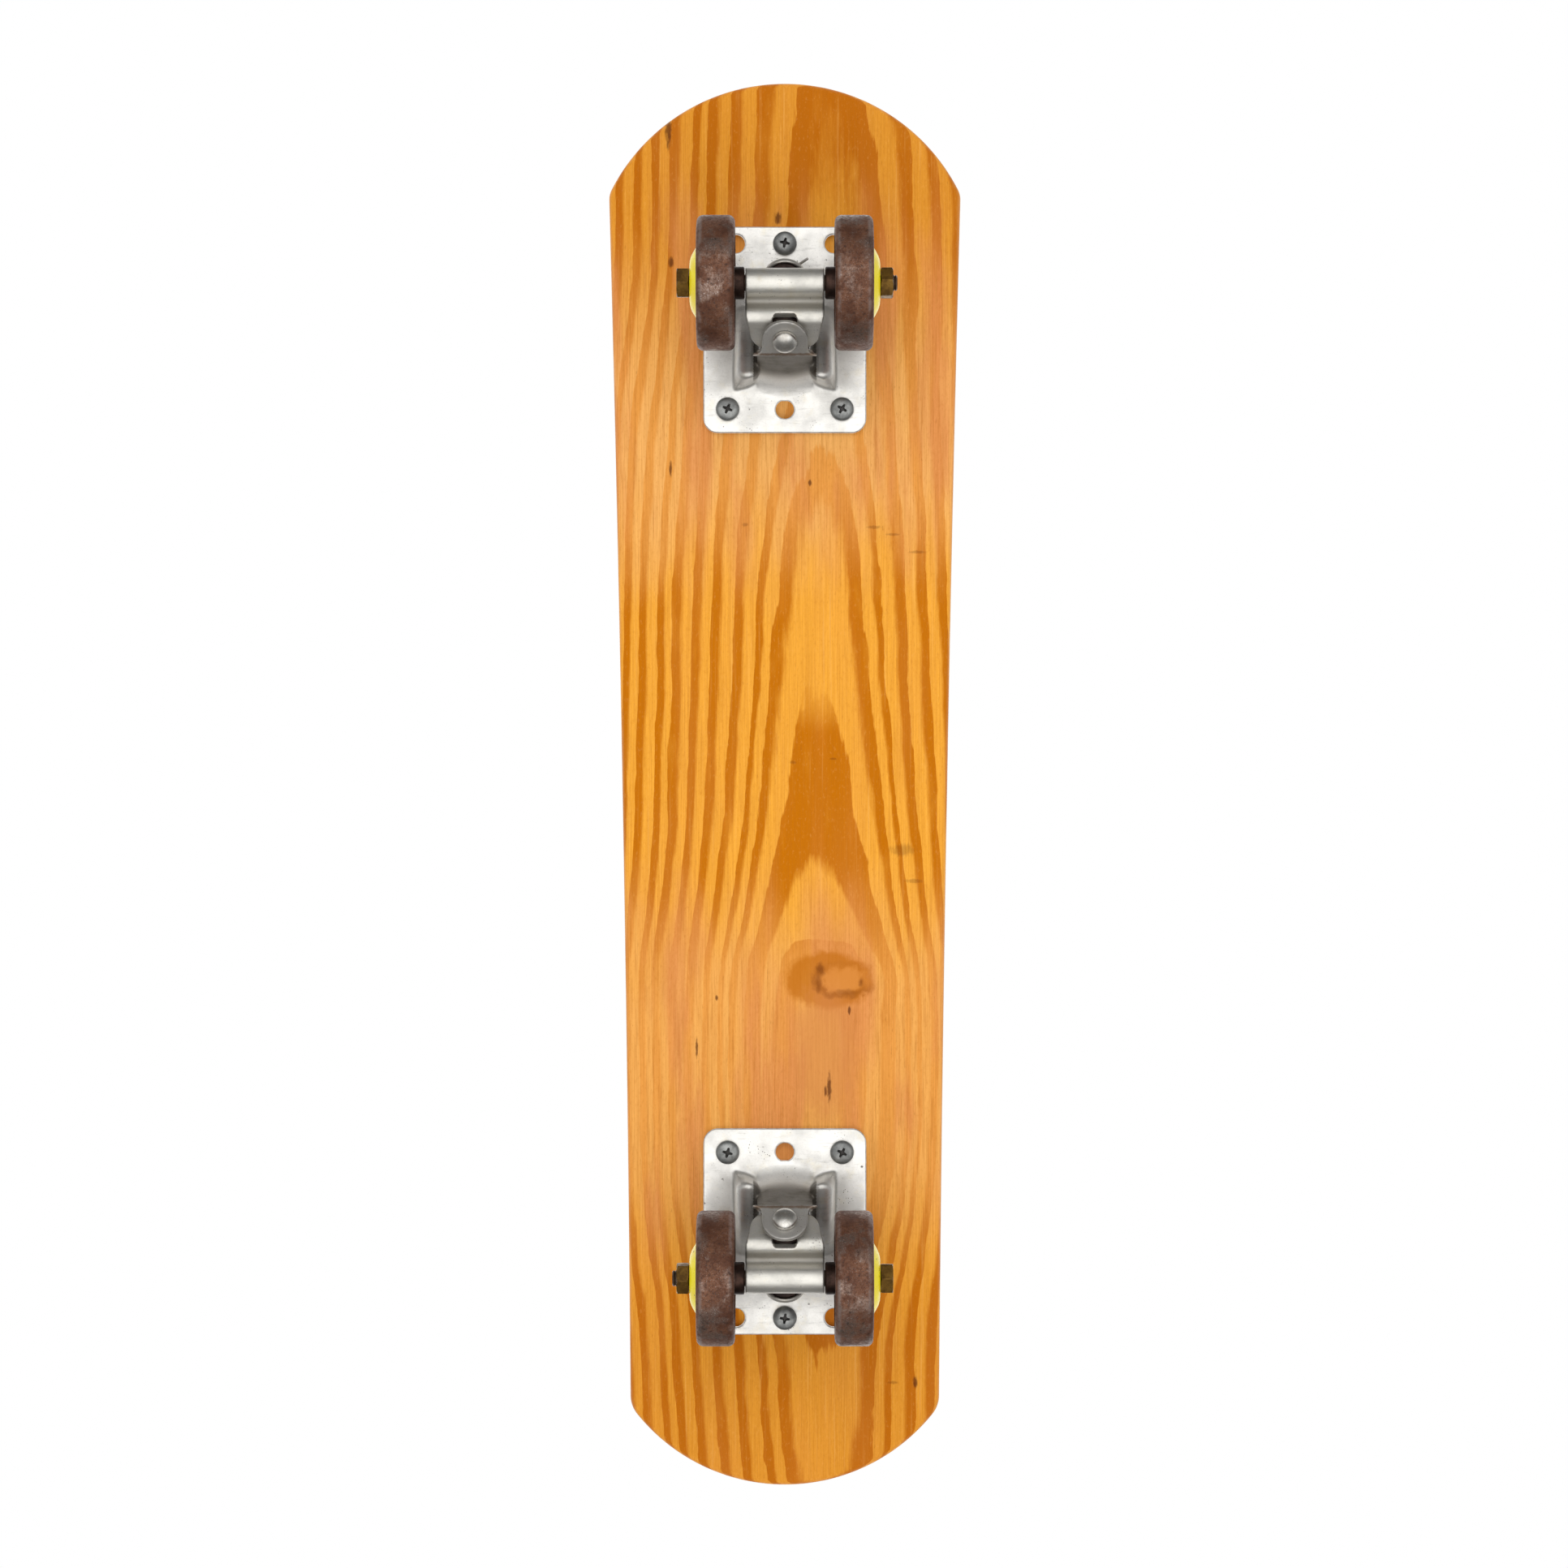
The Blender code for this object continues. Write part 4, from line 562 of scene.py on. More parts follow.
def screw_shape():
    """A pan-head wood screw with a tapered cross recess, pointing along +Z from its seat."""
    rim, soft = 0.30, 0.15 * MM
    profile = [(0.0, -SCREW_HEIGHT)]
    for angle in range(12, 90, 9):
        a = math.radians(angle)
        rise = rim + (1 - rim) * math.cos(a) ** 0.75
        profile.append((SCREW_HEAD * math.sin(a) ** 0.8, -SCREW_HEIGHT * rise))
    profile += [(SCREW_HEAD, -SCREW_HEIGHT * rim), (SCREW_HEAD, -soft), (SCREW_HEAD - soft, 0.0)]
    profile += [(SHANK_RADIUS, 0.0), (SHANK_RADIUS, SHANK_LENGTH), (0.0, SCREW_LENGTH)]
    head = turned(profile, 56, closed=False)
    tip, root = RECESS_TIP, RECESS_ROOT
    outline = []
    for quarter in range(4):
        quarter_turn = Matrix.Rotation(math.radians(90 * quarter), 2)
        for corner in ((tip, -root * 0.75), (tip, root * 0.75), (root * 1.25, root * 1.25)):
            outline.append(tuple(quarter_turn @ Vector(corner)))
    cross = prism(outline, -SCREW_HEIGHT - 0.6 * MM, -SCREW_HEIGHT + RECESS_DEPTH)
    for vert in cross.verts:
        if vert.co.z > -SCREW_HEIGHT:
            vert.co.x *= RECESS_TAPER
            vert.co.y *= RECESS_TAPER
    return carved(head, [("DIFFERENCE", cross)])


def nut_shape():
    """A hex nut, chamfered on both faces, with its corners a little worn."""
    corner = NUT_HALF / math.cos(math.radians(30))
    inner, outer = corner - 0.85 * MM, corner + SPARE
    low, high = CAP_FACE + GAP, CAP_FACE + GAP + NUT_THICKNESS
    body = prism(arc(0, 0, corner, 25, 385, 6)[:-1], low, high)
    bevelled(body, [e for e in body.edges if abs(e.verts[0].co.z - e.verts[1].co.z) > MM], 0.18 * MM, 2)
    collars = []
    for face, way in ((high, 1), (low, -1)):
        clear = face + way * SPARE
        edge = face - way * NUT_CHAMFER
        ring = [(inner, face + way * 0.01 * MM), (outer, edge), (outer, clear), (inner, clear)]
        collars.append(turned(ring, 56))
    bore = rod(AXLE_RADIUS + GAP / 2, low - SPARE, high + SPARE, 40)
    return carved(body, [("DIFFERENCE", both(collars)), ("DIFFERENCE", bore)])


def thread(end):
    """Crests and roots from an end of the axle inwards."""
    points = []
    z = end - THREAD_START
    for _ in range(8):
        points += [(AXLE_RADIUS, z), (AXLE_RADIUS, z - THREAD_PITCH * 0.12)]
        points.append((AXLE_RADIUS - THREAD_DEPTH, z - THREAD_PITCH * 0.52))
        z -= THREAD_PITCH
    points.append((AXLE_RADIUS, z))
    return points


def axle_shape():
    """The axle, with its rolled threads at both ends and the long end towards +Z."""
    nut_back = HALF_TRACK + CAP_FACE + GAP + NUT_THICKNESS
    short, long = (nut_back + past for past in AXLE_PAST_NUT)
    tip = AXLE_RADIUS - AXLE_CHAMFER
    profile = [(0.0, -short), (tip, -short)]
    profile += [(r, -z) for r, z in thread(short)]
    profile += reversed(thread(long))
    profile += [(tip, long), (0.0, long)]
    return turned(profile, 40, closed=False)


# Wheels


def tyre_shape():
    """The rolled steel tread with round shoulders and turned-in flanges."""
    r, lip, half = TYRE_ROUND, TYRE_LIP, HALF_TREAD
    inside, wall = WHEEL_RADIUS - TYRE_SHELL, half - TYRE_SHELL
    bend = 0.9 * MM
    profile = arc(OPENING + lip, half - lip, lip, 180, 90, 4)
    profile += arc(WHEEL_RADIUS - r, half - r, r, 90, 0, 8)
    profile += arc(WHEEL_RADIUS - r, r - half, r, 0, -90, 8)
    profile += arc(OPENING + lip, lip - half, lip, 270, 180, 4)
    profile += [(OPENING, -wall), (inside - bend, -wall), (inside, bend - wall)]
    profile += [(inside, wall - bend), (inside - bend, wall), (OPENING, wall)]
    return turned(profile, 112)


def disc_shape():
    """The pressed disc and hub inside the tread."""
    hub, race, web, dish = HUB_RADIUS, RACE_RADIUS, HALF_WEB, DISC_DISH
    rim_out = WHEEL_RADIUS - TYRE_SHELL - GAP
    bend, big_bend, edge = mm(1.0, 1.5, 0.4)
    rim_in = rim_out - big_bend
    hub_end, rim_end, stop_end = mm(6.7, 4.2, 2.3)
    profile = [
        (race, hub_end), (hub - edge, hub_end), (hub, hub_end - edge), (hub, web + dish + bend),
        (hub + bend, web + dish), (rim_in - big_bend, web - dish), (rim_in, web - dish + big_bend),
        (rim_in, rim_end), (rim_out, rim_end), (rim_out, -web - dish + bend),
        (rim_out - bend, -web - dish), (hub + bend, dish - web), (hub, dish - web - bend),
        (hub, edge - hub_end), (hub - edge, -hub_end), (race, -hub_end),
        (race, -stop_end), (STOP_RADIUS, -stop_end), (STOP_RADIUS, stop_end), (race, stop_end),
    ]
    return turned(profile, 72)


def cap_shape():
    """The domed hub cap."""
    low = HALF_TREAD - CAP_DEPTH
    height = CAP_FACE - low
    outer = [(CAP_HOLE, CAP_FACE), (CAP_FLAT, CAP_FACE)]
    for i in range(1, 17):
        t = i / 16
        fall = height * 0.5 * (1 - math.cos(math.pi * t ** 1.15))
        outer.append((CAP_FLAT + t * CAP_SLOPE, CAP_FACE - fall))
    outer += [(CAP_BRIM, low), (CAP_EDGE, low - 0.1 * MM)]
    inner = [(x, z - CAP_SHEET) for x, z in reversed(outer)]
    return turned(outer + inner, 96)


def cone_shape(outer_side):
    """A bearing cone: flange, race and, on the outer one, the nose that meets the nut."""
    bore, middle = AXLE_RADIUS + GAP / 2, GAP / 2
    race = [mm(4.4, 5.5), mm(6.0, 6.3), (CONE_RADIUS, 6.6 * MM)]
    if outer_side:
        back = CAP_FACE - 1.8 * MM
        soft, nose, soft_nose = 0.3 * MM, 4.7 * MM, 0.2 * MM
        profile = [(bore, middle), (4.4 * MM, middle), *race]
        profile += [(CONE_RADIUS, back - soft), (CONE_RADIUS - soft, back), (nose, back)]
        profile += [(nose, CAP_FACE - soft_nose), (nose - soft_nose, CAP_FACE), (bore, CAP_FACE)]
        return turned(profile, 48)
    start = HANGER_HALF - HALF_TRACK + GAP
    profile = [(bore, start), (5.7 * MM, start)]
    profile += [(6.2 * MM, start + 0.25 * MM), (CONE_RADIUS, start + 0.6 * MM)]
    profile += [(radius, -z) for radius, z in reversed(race)]
    profile += [(4.4 * MM, -middle), (bore, -middle)]
    return turned(profile, 48)


def balls_shape(side):
    """Six balls on a thin cage."""
    level = side * BALL_OFFSET
    inner, outer = (BALL_CIRCLE + way * CAGE_HALF for way in (-1, 1))
    low, high = level - 0.5 * MM, level + 0.5 * MM
    pieces = [turned([(inner, low), (outer, low), (outer, high), (inner, high)], 36)]
    for i in range(6):
        at = turn(60 * i, "Z") @ shift(BALL_CIRCLE, 0, level)
        ball = bmesh.new()
        bmesh.ops.create_uvsphere(ball, u_segments=20, v_segments=12, radius=BALL_RADIUS, matrix=at)
        pieces.append(ball)
    return both(pieces)


# Finishes


def put(socket, value):
    """Link a socket to a node's output, or give it a constant."""
    if isinstance(value, bpy.types.NodeSocket):
        socket.id_data.links.new(value, socket)
    else:
        socket.default_value = value


def add_node(tree, kind, values=None, **settings):
    made = tree.nodes.new(kind)
    for key, value in settings.items():
        setattr(made, key, value)
    for socket, value in (values or {}).items():
        put(made.inputs[socket], value)
    return made


class Finish:
    """A Principled material built from procedural nodes."""

    def __init__(self, name, roughness, metallic=0.0, specular=0.5):
        self.made = bpy.data.materials.new(name)
        self.made.use_nodes = True
        self.tree = self.made.node_tree
        self.shader = self.tree.nodes["Principled BSDF"]
        self.shader.inputs["Roughness"].default_value = roughness
        self.shader.inputs["Metallic"].default_value = metallic
        self.shader.inputs["Specular IOR Level"].default_value = specular
        self.coords = self.node("ShaderNodeTexCoord").outputs["Object"]

    def node(self, kind, values=None, **settings):
        return add_node(self.tree, kind, values, **settings)

    def math(self, operation, a, b=0.0, c=0.0, clamp=False):
        values = {0: a, 1: b, 2: c}
        return self.node("ShaderNodeMath", values, operation=operation, use_clamp=clamp).outputs[0]

    def plus(self, a, b):
        return self.math("ADD", a, b)

    def less(self, a, b, clamp=False):
        return self.math("SUBTRACT", a, b, clamp=clamp)

    def times(self, a, b, clamp=False):
        return self.math("MULTIPLY", a, b, clamp=clamp)

    def off(self, value, level):
        """How far a value lies from a level, either way."""
        return self.math("ABSOLUTE", self.less(value, level))

    def eased(self, share, by, start, clamp=False):
        """A share times a number, added to a start."""
        return self.math("MULTIPLY_ADD", share, by, start, clamp=clamp)

    def shifted(self, value, noise, reach):
        """A value moved up or down by noise, half the reach each way."""
        return self.plus(value, self.eased(noise, reach, -reach / 2))

    def scaled(self, size, centre=(0, 0, 0)):
        """Object coordinates about a centre, divided by a size along each axis."""
        vector = self.coords
        for operation, by in (("SUBTRACT", centre), ("DIVIDE", size)):
            vector = self.node("ShaderNodeVectorMath", {0: vector, 1: by}, operation=operation).outputs[0]
        return vector

    def noise(self, size, detail=2.0, rough=0.5):
        """Noise of a grain in metres: one number, or length along X and width across, or one per axis."""
        sizes = size if isinstance(size, tuple) else (size, size)
        vector = self.scaled((*sizes, sizes[1])[:3])
        values = {"Vector": vector, "Scale": 1.0, "Detail": detail, "Roughness": rough}
        return self.node("ShaderNodeTexNoise", values).outputs["Fac"]

    def step(self, value, low, high, out_low=0.0, out_high=1.0):
        """A smooth step from out_low to out_high while value goes from low to high."""
        values = {0: value, 1: low, 2: high, 3: out_low, 4: out_high}
        return self.node("ShaderNodeMapRange", values, interpolation_type="SMOOTHSTEP").outputs[0]

    def mix(self, share, first, second):
        """Two colours or colour sockets: the first where the share is 0, the second where it is 1."""
        made = self.node("ShaderNodeMix", data_type="RGBA")
        put(made.inputs[0], share)
        for socket, value in ((made.inputs[6], first), (made.inputs[7], second)):
            put(socket, value if isinstance(value, bpy.types.NodeSocket) else (*value, 1.0))
        return made.outputs[2]

    def over(self, colour, value, ramp, tone):
        """A tone over a colour, as much as a step of a value says."""
        return self.mix(self.step(value, *ramp), colour, tone)

    def spots(self, size, low, high):
        """Scattered round specks: 1 inside a speck."""
        values = {"Vector": self.scaled((size, size, size)), "Scale": 1.0}
        near = self.node("ShaderNodeTexVoronoi", values).outputs["Distance"]
        return self.step(near, low, high, 1.0, 0.0)

    def near(self, centre, size):
        """Distance from a point of the underside, 1 at an ellipse of these half sizes, in millimetres."""
        sizes = (size[0] * MM, size[1] * MM, max(size) * MM)
        spot = self.scaled(sizes, (centre[0] * MM, centre[1] * MM, UNDERSIDE))
        return self.node("ShaderNodeVectorMath", {0: spot}, operation="LENGTH").outputs["Value"]

    def graph(self, value, points, low, high, top, straight=False):
        """A curve through points in millimetres, for a value in metres between low and high; metres out."""
        share = self.math("DIVIDE", self.less(value, low * MM), (high - low) * MM)
        curve = self.node("ShaderNodeFloatCurve", {"Value": share})
        line = curve.mapping.curves[0].points
        first, *between, last = [((at - low) / (high - low), reading / top) for at, reading in points]
        line[0].location, line[1].location = (0.0, first[1]), (1.0, last[1])
        for at, reading in between:
            line.new(at, reading)
        for point in line:
            point.handle_type = "VECTOR" if straight else "AUTO_CLAMPED"
        curve.mapping.update()
        return self.times(curve.outputs[0], top * MM)

    def attribute(self, name):
        return self.node("ShaderNodeAttribute", attribute_name=name).outputs["Fac"]

    def bump(self, height, distance, strength):
        made = self.node("ShaderNodeBump", {"Height": height, "Distance": distance, "Strength": strength})
        put(self.shader.inputs["Normal"], made.outputs[0])

    def set(self, **sockets):
        for name, value in sockets.items():
            put(self.shader.inputs[name.replace("_", " ")], value)
        return self.made


def pine_finish():
    """Varnished pine: growth rings round a pith below the plank, with a knot, marks and worn edges."""
    wood = Finish("varnished_pine_grain", 0.42, specular=0.05)
    x, y, z = wood.node("ShaderNodeSeparateXYZ", {0: wood.coords}).outputs[:]

    # Distance from the pith, which lies deepest at the nose and nearest at the knot
    pith_depth = (
        (-282, 37.0), (-255, 35.6), (-225, 34.5), (-190, 28.0), (-160, 21.0), (-132, 17.5), (-100, 17.0),
        (-85, 17.8), (-73, 19.4), (-65, 21.8), (-57, 24.5), (-40, 28.0), (-30, 29.3), (-16, 31.3), (0, 32.4),
        (24.9, 34.0), (39.2, 35.0), (60, 35.6), (78, 36.5), (108.7, 38.0), (120, 39.0), (150, 41.5),
        (190, 44.6), (235, 46.8), (255, 47.5), (282, 48.6),
    )
    depth = wood.graph(x, pith_depth, -282.5, 282.5, 50.0)
    pith_drift = ((-282, 17), (-225, 16), (-150, 14.5), (120, 14.5), (235, 19), (282, 19))
    drift = wood.graph(x, pith_drift, -282.5, 282.5, 20)
    sway = wood.noise((0.14, 0.30), 1.0)
    across = wood.less(wood.less(y, drift), wood.eased(sway, 0.004, -0.002))
    below = wood.plus(wood.less(z, UNDERSIDE), depth)
    ring = wood.math("SQRT", wood.plus(wood.times(across, across), wood.times(below, below)))
    for size, amount in (((0.055, 0.016), 0.0030), ((0.020, 0.0040), 0.0011), ((0.008, 0.0012), 0.0009)):
        ring = wood.shifted(ring, wood.noise(size, 2.0, 0.5), amount)
    # Above and beside the knot the rings bend round it
    for centre, size, push in (((-59.0, 15.0), (9.0, 17.0), 0.0045), ((-79.0, 34.0), (16.0, 22.0), -0.0022)):
        ring = wood.plus(ring, wood.step(wood.near(centre, size), 0.0, 1.0, push, 0.0))

    # Growth rings, from ring 2: millimetres from the pith to the outer edge of each dark latewood
    ring_edges = (0, 8, 15, 25.5, 35, 40.3, 44.2, 50.4, 57, 63.4, 69.8, 74.6, 81.5, 87.5, 93.5, 100)
    counted = [(edge, 2.0 + count) for count, edge in enumerate(ring_edges)]
    turns = wood.times(wood.graph(ring, counted, 0.0, 100.0, 20.0, straight=True), 1000.0)
    phase = wood.math("FRACT", turns)
    whole = {"W": wood.math("FLOOR", turns)}
    which = wood.node("ShaderNodeTexWhiteNoise", whole, noise_dimensions="1D").outputs["Value"]
    opening = wood.eased(which, 0.14, 0.32)
    risen = wood.math("DIVIDE", wood.less(phase, opening), 0.26)
    late = wood.times(wood.step(risen, 0.0, 1.0), wood.step(phase, 0.95, 1.0, 1.0, 0.0))
    heart = wood.times(wood.step(turns, 5.38, 5.50), wood.step(turns, 5.97, 6.02, 1.0, 0.0))
    late = wood.math("MAXIMUM", late, heart)
    patch = wood.noise((0.05, 0.010), 3.0, 0.6)
    late = wood.times(late, wood.step(patch, 0.25, 0.62, 0.72, 1.20), clamp=True)
    flame_tip = wood.near((41.0, 14.5), (23.0, 15.0))
    late = wood.times(late, wood.step(flame_tip, 0.25, 1.0, 0.30, 1.0))

    # Painted light: paler, pinker pools towards the trucks; painted shade: browner towards the ends; richest
    # amber in the middle
    away = wood.shifted(wood.off(x, 0.020), wood.noise((0.05, 0.012), 2.0, 0.5), 0.06)
    painted_light_zone = wood.times(wood.step(away, 0.050, 0.105), wood.step(away, 0.175, 0.235, 1.0, 0.0))
    painted_shade_at_ends = wood.step(wood.math("ABSOLUTE", x), 0.145, 0.235)
    pale_early = wood.mix(wood.step(x, -0.09, 0.09), (0.950, 0.448, 0.108), (0.990, 0.500, 0.145))
    early = wood.mix(painted_light_zone, (0.980, 0.438, 0.048), pale_early)
    early = wood.mix(painted_shade_at_ends, early, (0.800, 0.325, 0.032))
    dark = wood.mix(painted_light_zone, (0.590, 0.171, 0.0), (0.880, 0.368, 0.074))
    dark = wood.mix(painted_shade_at_ends, dark, (0.525, 0.143, 0.002))
    colour = wood.mix(late, early, dark)
    broad = wood.noise((0.10, 0.016), 3.0, 0.55)
    blush = wood.times(wood.step(broad, 0.44, 0.64, 0.0, 0.80), wood.eased(painted_light_zone, 0.88, 0.12))
    colour = wood.mix(blush, colour, (0.790, 0.300, 0.095))
    fibre = wood.noise((0.030, 0.00042), 3.0, 0.7)
    colour = wood.over(colour, fibre, (0.30, 0.70, 0.36, 0.0), (0.46, 0.135, 0.006))
    grain = wood.noise((0.0022, 0.0009), 3.0, 0.75)
    colour = wood.over(colour, grain, (0.50, 0.72, 0.0, 0.24), (0.52, 0.150, 0.010))
    colour = wood.over(colour, grain, (0.28, 0.46, 0.16, 0.0), (0.99, 0.50, 0.14))
    streaks = wood.noise((0.022, 0.0010), 3.0, 0.65)
    seen = wood.eased(painted_light_zone, 0.30, 0.08)
    colour = wood.mix(wood.times(wood.step(streaks, 0.52, 0.70), seen), colour, (0.48, 0.150, 0.018))
    pale = wood.noise((0.050, 0.0011), 2.0, 0.6)
    pale = wood.times(wood.step(pale, 0.56, 0.80, 0.0, 0.35), wood.eased(late, -0.6, 1.0))
    colour = wood.mix(pale, colour, (0.99, 0.52, 0.14))
    flecks = wood.noise((0.0042, 0.00045), 2.0, 0.6)
    colour = wood.over(colour, flecks, (0.66, 0.78, 0.0, 0.45), (0.30, 0.085, 0.010))

    # The knot, with the stained wood below it
    swirl = wood.noise((0.005, 0.004), 4.0, 0.65)
    stain = wood.shifted(wood.near((-79.0, 17.5), (13.0, 19.0)), swirl, 0.4)
    colour = wood.over(colour, stain, (0.76, 1.02, 0.80, 0.0), (0.540, 0.158, 0.006))
    below_knot = wood.shifted(wood.near((-108.0, 16.5), (34.0, 16.0)), swirl, 0.6)
    colour = wood.over(colour, below_knot, (0.5, 1.1, 0.60, 0.0), (0.660, 0.240, 0.068))
    knot = wood.shifted(wood.near((-78.6, 23.9), (6.6, 11.4)), swirl, 1.1)
    colour = wood.over(colour, knot, (0.45, 1.0, 0.60, 0.0), (0.780, 0.300, 0.062))
    off_rim = wood.off(knot, 1.0)
    lower = wood.step(wood.eased(y, 0.35, x), -0.074, -0.066, 0.50, 0.10)
    at_rim = wood.times(wood.step(off_rim, 0.0, 0.36, 1.0, 0.0), lower)
    colour = wood.mix(at_rim, colour, (0.300, 0.080, 0.008))
    for centre, size, deep in (
        ((-74.6, 14.4), (3.0, 2.2), 0.75), ((-80.4, 13.6), (3.6, 1.5), 0.55),
        ((-79.6, 30.8), (2.6, 1.5), 0.75), ((-83.8, 25.0), (1.4, 5.5), 0.45),
    ):
        heart = wood.shifted(wood.near(centre, size), swirl, 2.2)
        colour = wood.mix(wood.step(heart, 0.15, 1.1, deep, 0.0), colour, (0.215, 0.052, 0.006))

    # Pitch streaks, dents and scratches
    marks = (
        (263.6, -46.9, 9.0, 1.6), (210.3, -45.8, 2.6, 1.5), (228.0, -2.8, 3.2, 1.9), (-122.2, 17.9, 7.5, 1.2),
        (-123.5, 16.4, 3.0, 0.7), (8.8, 3.2, 0.9, 1.8), (10.2, 19.5, 0.7, 2.2), (-26.5, 47.5, 3.2, 6.5),
        (-39.0, 52.0, 1.2, 4.6), (121.4, 10.1, 1.7, 1.1), (127.0, -46.0, 4.0, 0.8), (103.5, 36.0, 0.9, 4.2),
        (100.6, 43.5, 0.7, 3.6), (93.5, 53.5, 0.8, 4.6), (104.5, -16.0, 1.0, 1.6), (-106.0, -35.5, 5.0, 0.7),
        (-86.0, -27.5, 1.5, 0.8), (-91.0, 26.0, 2.4, 0.8), (-240.8, 52.5, 3.2, 1.2), (-241.0, 43.5, 0.8, 2.6),
    )
    ragged = wood.noise((0.0030, 0.0009), 3.0, 0.6)
    for at_x, at_y, long, wide in marks:
        reach = wood.shifted(wood.near((at_x, at_y), (long, wide)), ragged, 1.2)
        deep = 0.8 if long > 1.2 and wide < 2 else 0.35
        colour = wood.mix(wood.step(reach, 0.35, 1.0, deep, 0.0), colour, (0.105, 0.024, 0.006))
    worn = wood.attribute("edge")
    rub = wood.step(wood.noise((0.018, 0.0035), 3.0, 0.65), 0.35, 0.65)
    colour = wood.mix(wood.times(worn, wood.eased(rub, 0.40, 0.22)), colour, (0.86, 0.47, 0.24))
    rough = wood.step(fibre, 0.2, 0.8, 0.36, 0.52)
    height = wood.plus(wood.times(late, 0.35), wood.times(fibre, 0.65))
    wood.bump(height, 0.00006, 0.6)
    return wood.set(Base_Color=colour, Roughness=rough)


def silver_finish(name, base, speck_share, rust_share):
    """Aluminium-coloured paint on pressed steel, with specks, rubbed patches, rust at worn edges, and painted
    shade from a point layer.
    """
    paint = Finish(name, 0.42, metallic=0.92)
    cloud = paint.noise(0.011, 4.0, 0.6)
    fine = paint.noise(0.0007, 3.0, 0.7)
    shade = tuple(c * 0.80 for c in base)
    colour = paint.mix(paint.step(cloud, 0.40, 0.72, 0.0, 0.75), base, shade)
    yellowed = paint.step(paint.noise(0.006, 3.0, 0.6), 0.52, 0.74, 0.0, 0.5)
    colour = paint.mix(yellowed, colour, (base[0] * 0.93, base[1] * 0.88, base[2] * 0.76))
    colour = paint.over(colour, fine, (0.50, 0.75, 0.0, 0.30), (0.55, 0.53, 0.50))
    crowded = paint.step(paint.noise(0.009, 2.0, 0.5), 0.56, 0.70)
    specks = paint.times(paint.spots(0.0010, 0.14, 0.24), crowded)
    pits = paint.times(paint.spots(0.0062, 0.06, 0.09), paint.step(fine, 0.40, 0.60))
    marks = paint.math("MAXIMUM", specks, pits)
    colour = paint.mix(paint.times(marks, speck_share), colour, (0.085, 0.055, 0.035))
    worn = paint.attribute("worn")
    rust = paint.step(paint.shifted(worn, paint.noise(0.0022, 4.0, 0.65), 0.9), 0.45, 0.95)
    colour = paint.mix(paint.times(rust, rust_share), colour, (0.32, 0.17, 0.085))
    # Painted shade: a dark olive grey, a little rougher, where the plate's or hanger's shade layer says
    painted_shade = paint.times(paint.attribute("painted_shade"), paint.step(cloud, 0.2, 0.7, 1.0, 0.75))
    colour = paint.mix(painted_shade, colour, (0.092, 0.072, 0.048))
    scuffs = paint.noise((0.0016, 0.0110, 0.0016), 4.0, 0.7)
    colour = paint.over(colour, scuffs, (0.54, 0.72, 0.0, 0.34), (0.40, 0.385, 0.35))
    rough = paint.plus(paint.step(cloud, 0.3, 0.7, 0.36, 0.48), paint.times(marks, 0.3))
    rough = paint.plus(rough, paint.times(painted_shade, 0.2))
    metal = paint.less(0.84, paint.times(marks, 0.7), clamp=True)
    metal = paint.eased(paint.attribute("dull"), -0.42, metal, clamp=True)
    dents = paint.noise(0.0030, 2.0, 0.5)
    height = paint.less(fine, paint.times(marks, 0.8))
    paint.bump(paint.eased(dents, 2.6, height), 0.00005, 0.6)
    return paint.set(Base_Color=colour, Roughness=rough, Metallic=metal)


def rusty_tread_finish():
    """Rolled steel, red-brown with rust, with bare grey patches and bright glints where it runs, and a
    painted highlight along each shoulder.
    """
    steel = Finish("rusty_rolled_steel", 0.45, metallic=0.6)
    cloud = steel.noise(0.009, 4.0, 0.62)
    fine = steel.noise(0.0012, 4.0, 0.72)
    grain = steel.noise(0.0005, 3.0, 0.7)
    brown = steel.mix(steel.step(cloud, 0.34, 0.66), (0.105, 0.037, 0.017), (0.188, 0.080, 0.041))
    colour = steel.mix(steel.step(fine, 0.46, 0.64, 0.0, 0.62), brown, (0.070, 0.025, 0.013))
    run = steel.attribute("tread")
    patchy = steel.step(steel.noise(0.012, 4.0, 0.6), 0.46, 0.62)
    bare = steel.times(steel.times(run, patchy), steel.step(fine, 0.40, 0.60, 1.0, 0.40))
    colour = steel.mix(steel.times(bare, 0.60), colour, (0.31, 0.235, 0.195))
    running = steel.times(run, steel.step(cloud, 0.36, 0.60, 0.06, 0.36))
    glints = steel.times(steel.step(grain, 0.56, 0.66), steel.math("MAXIMUM", bare, running))
    colour = steel.mix(steel.times(glints, 0.75), colour, (0.56, 0.50, 0.47))
    dirt = steel.step(steel.noise(0.0020, 4.0, 0.75), 0.56, 0.70, 0.0, 0.85)
    colour = steel.mix(dirt, colour, (0.036, 0.017, 0.012))
    # Painted highlight: a pale grey line along each shoulder, broken up by the cloud noise
    shoulder = steel.times(steel.attribute("shoulder"), steel.step(cloud, 0.42, 0.62, 0.0, 0.50))
    colour = steel.mix(shoulder, colour, (0.34, 0.29, 0.27))
    rough = steel.less(steel.step(fine, 0.3, 0.7, 0.42, 0.64), steel.times(bare, 0.16))
    metal = steel.eased(steel.math("MAXIMUM", bare, glints), 0.45, 0.45, clamp=True)
    steel.bump(steel.plus(steel.times(fine, 0.7), steel.times(grain, 0.3)), 0.00020, 0.7)
    return steel.set(Base_Color=colour, Roughness=rough, Metallic=metal)


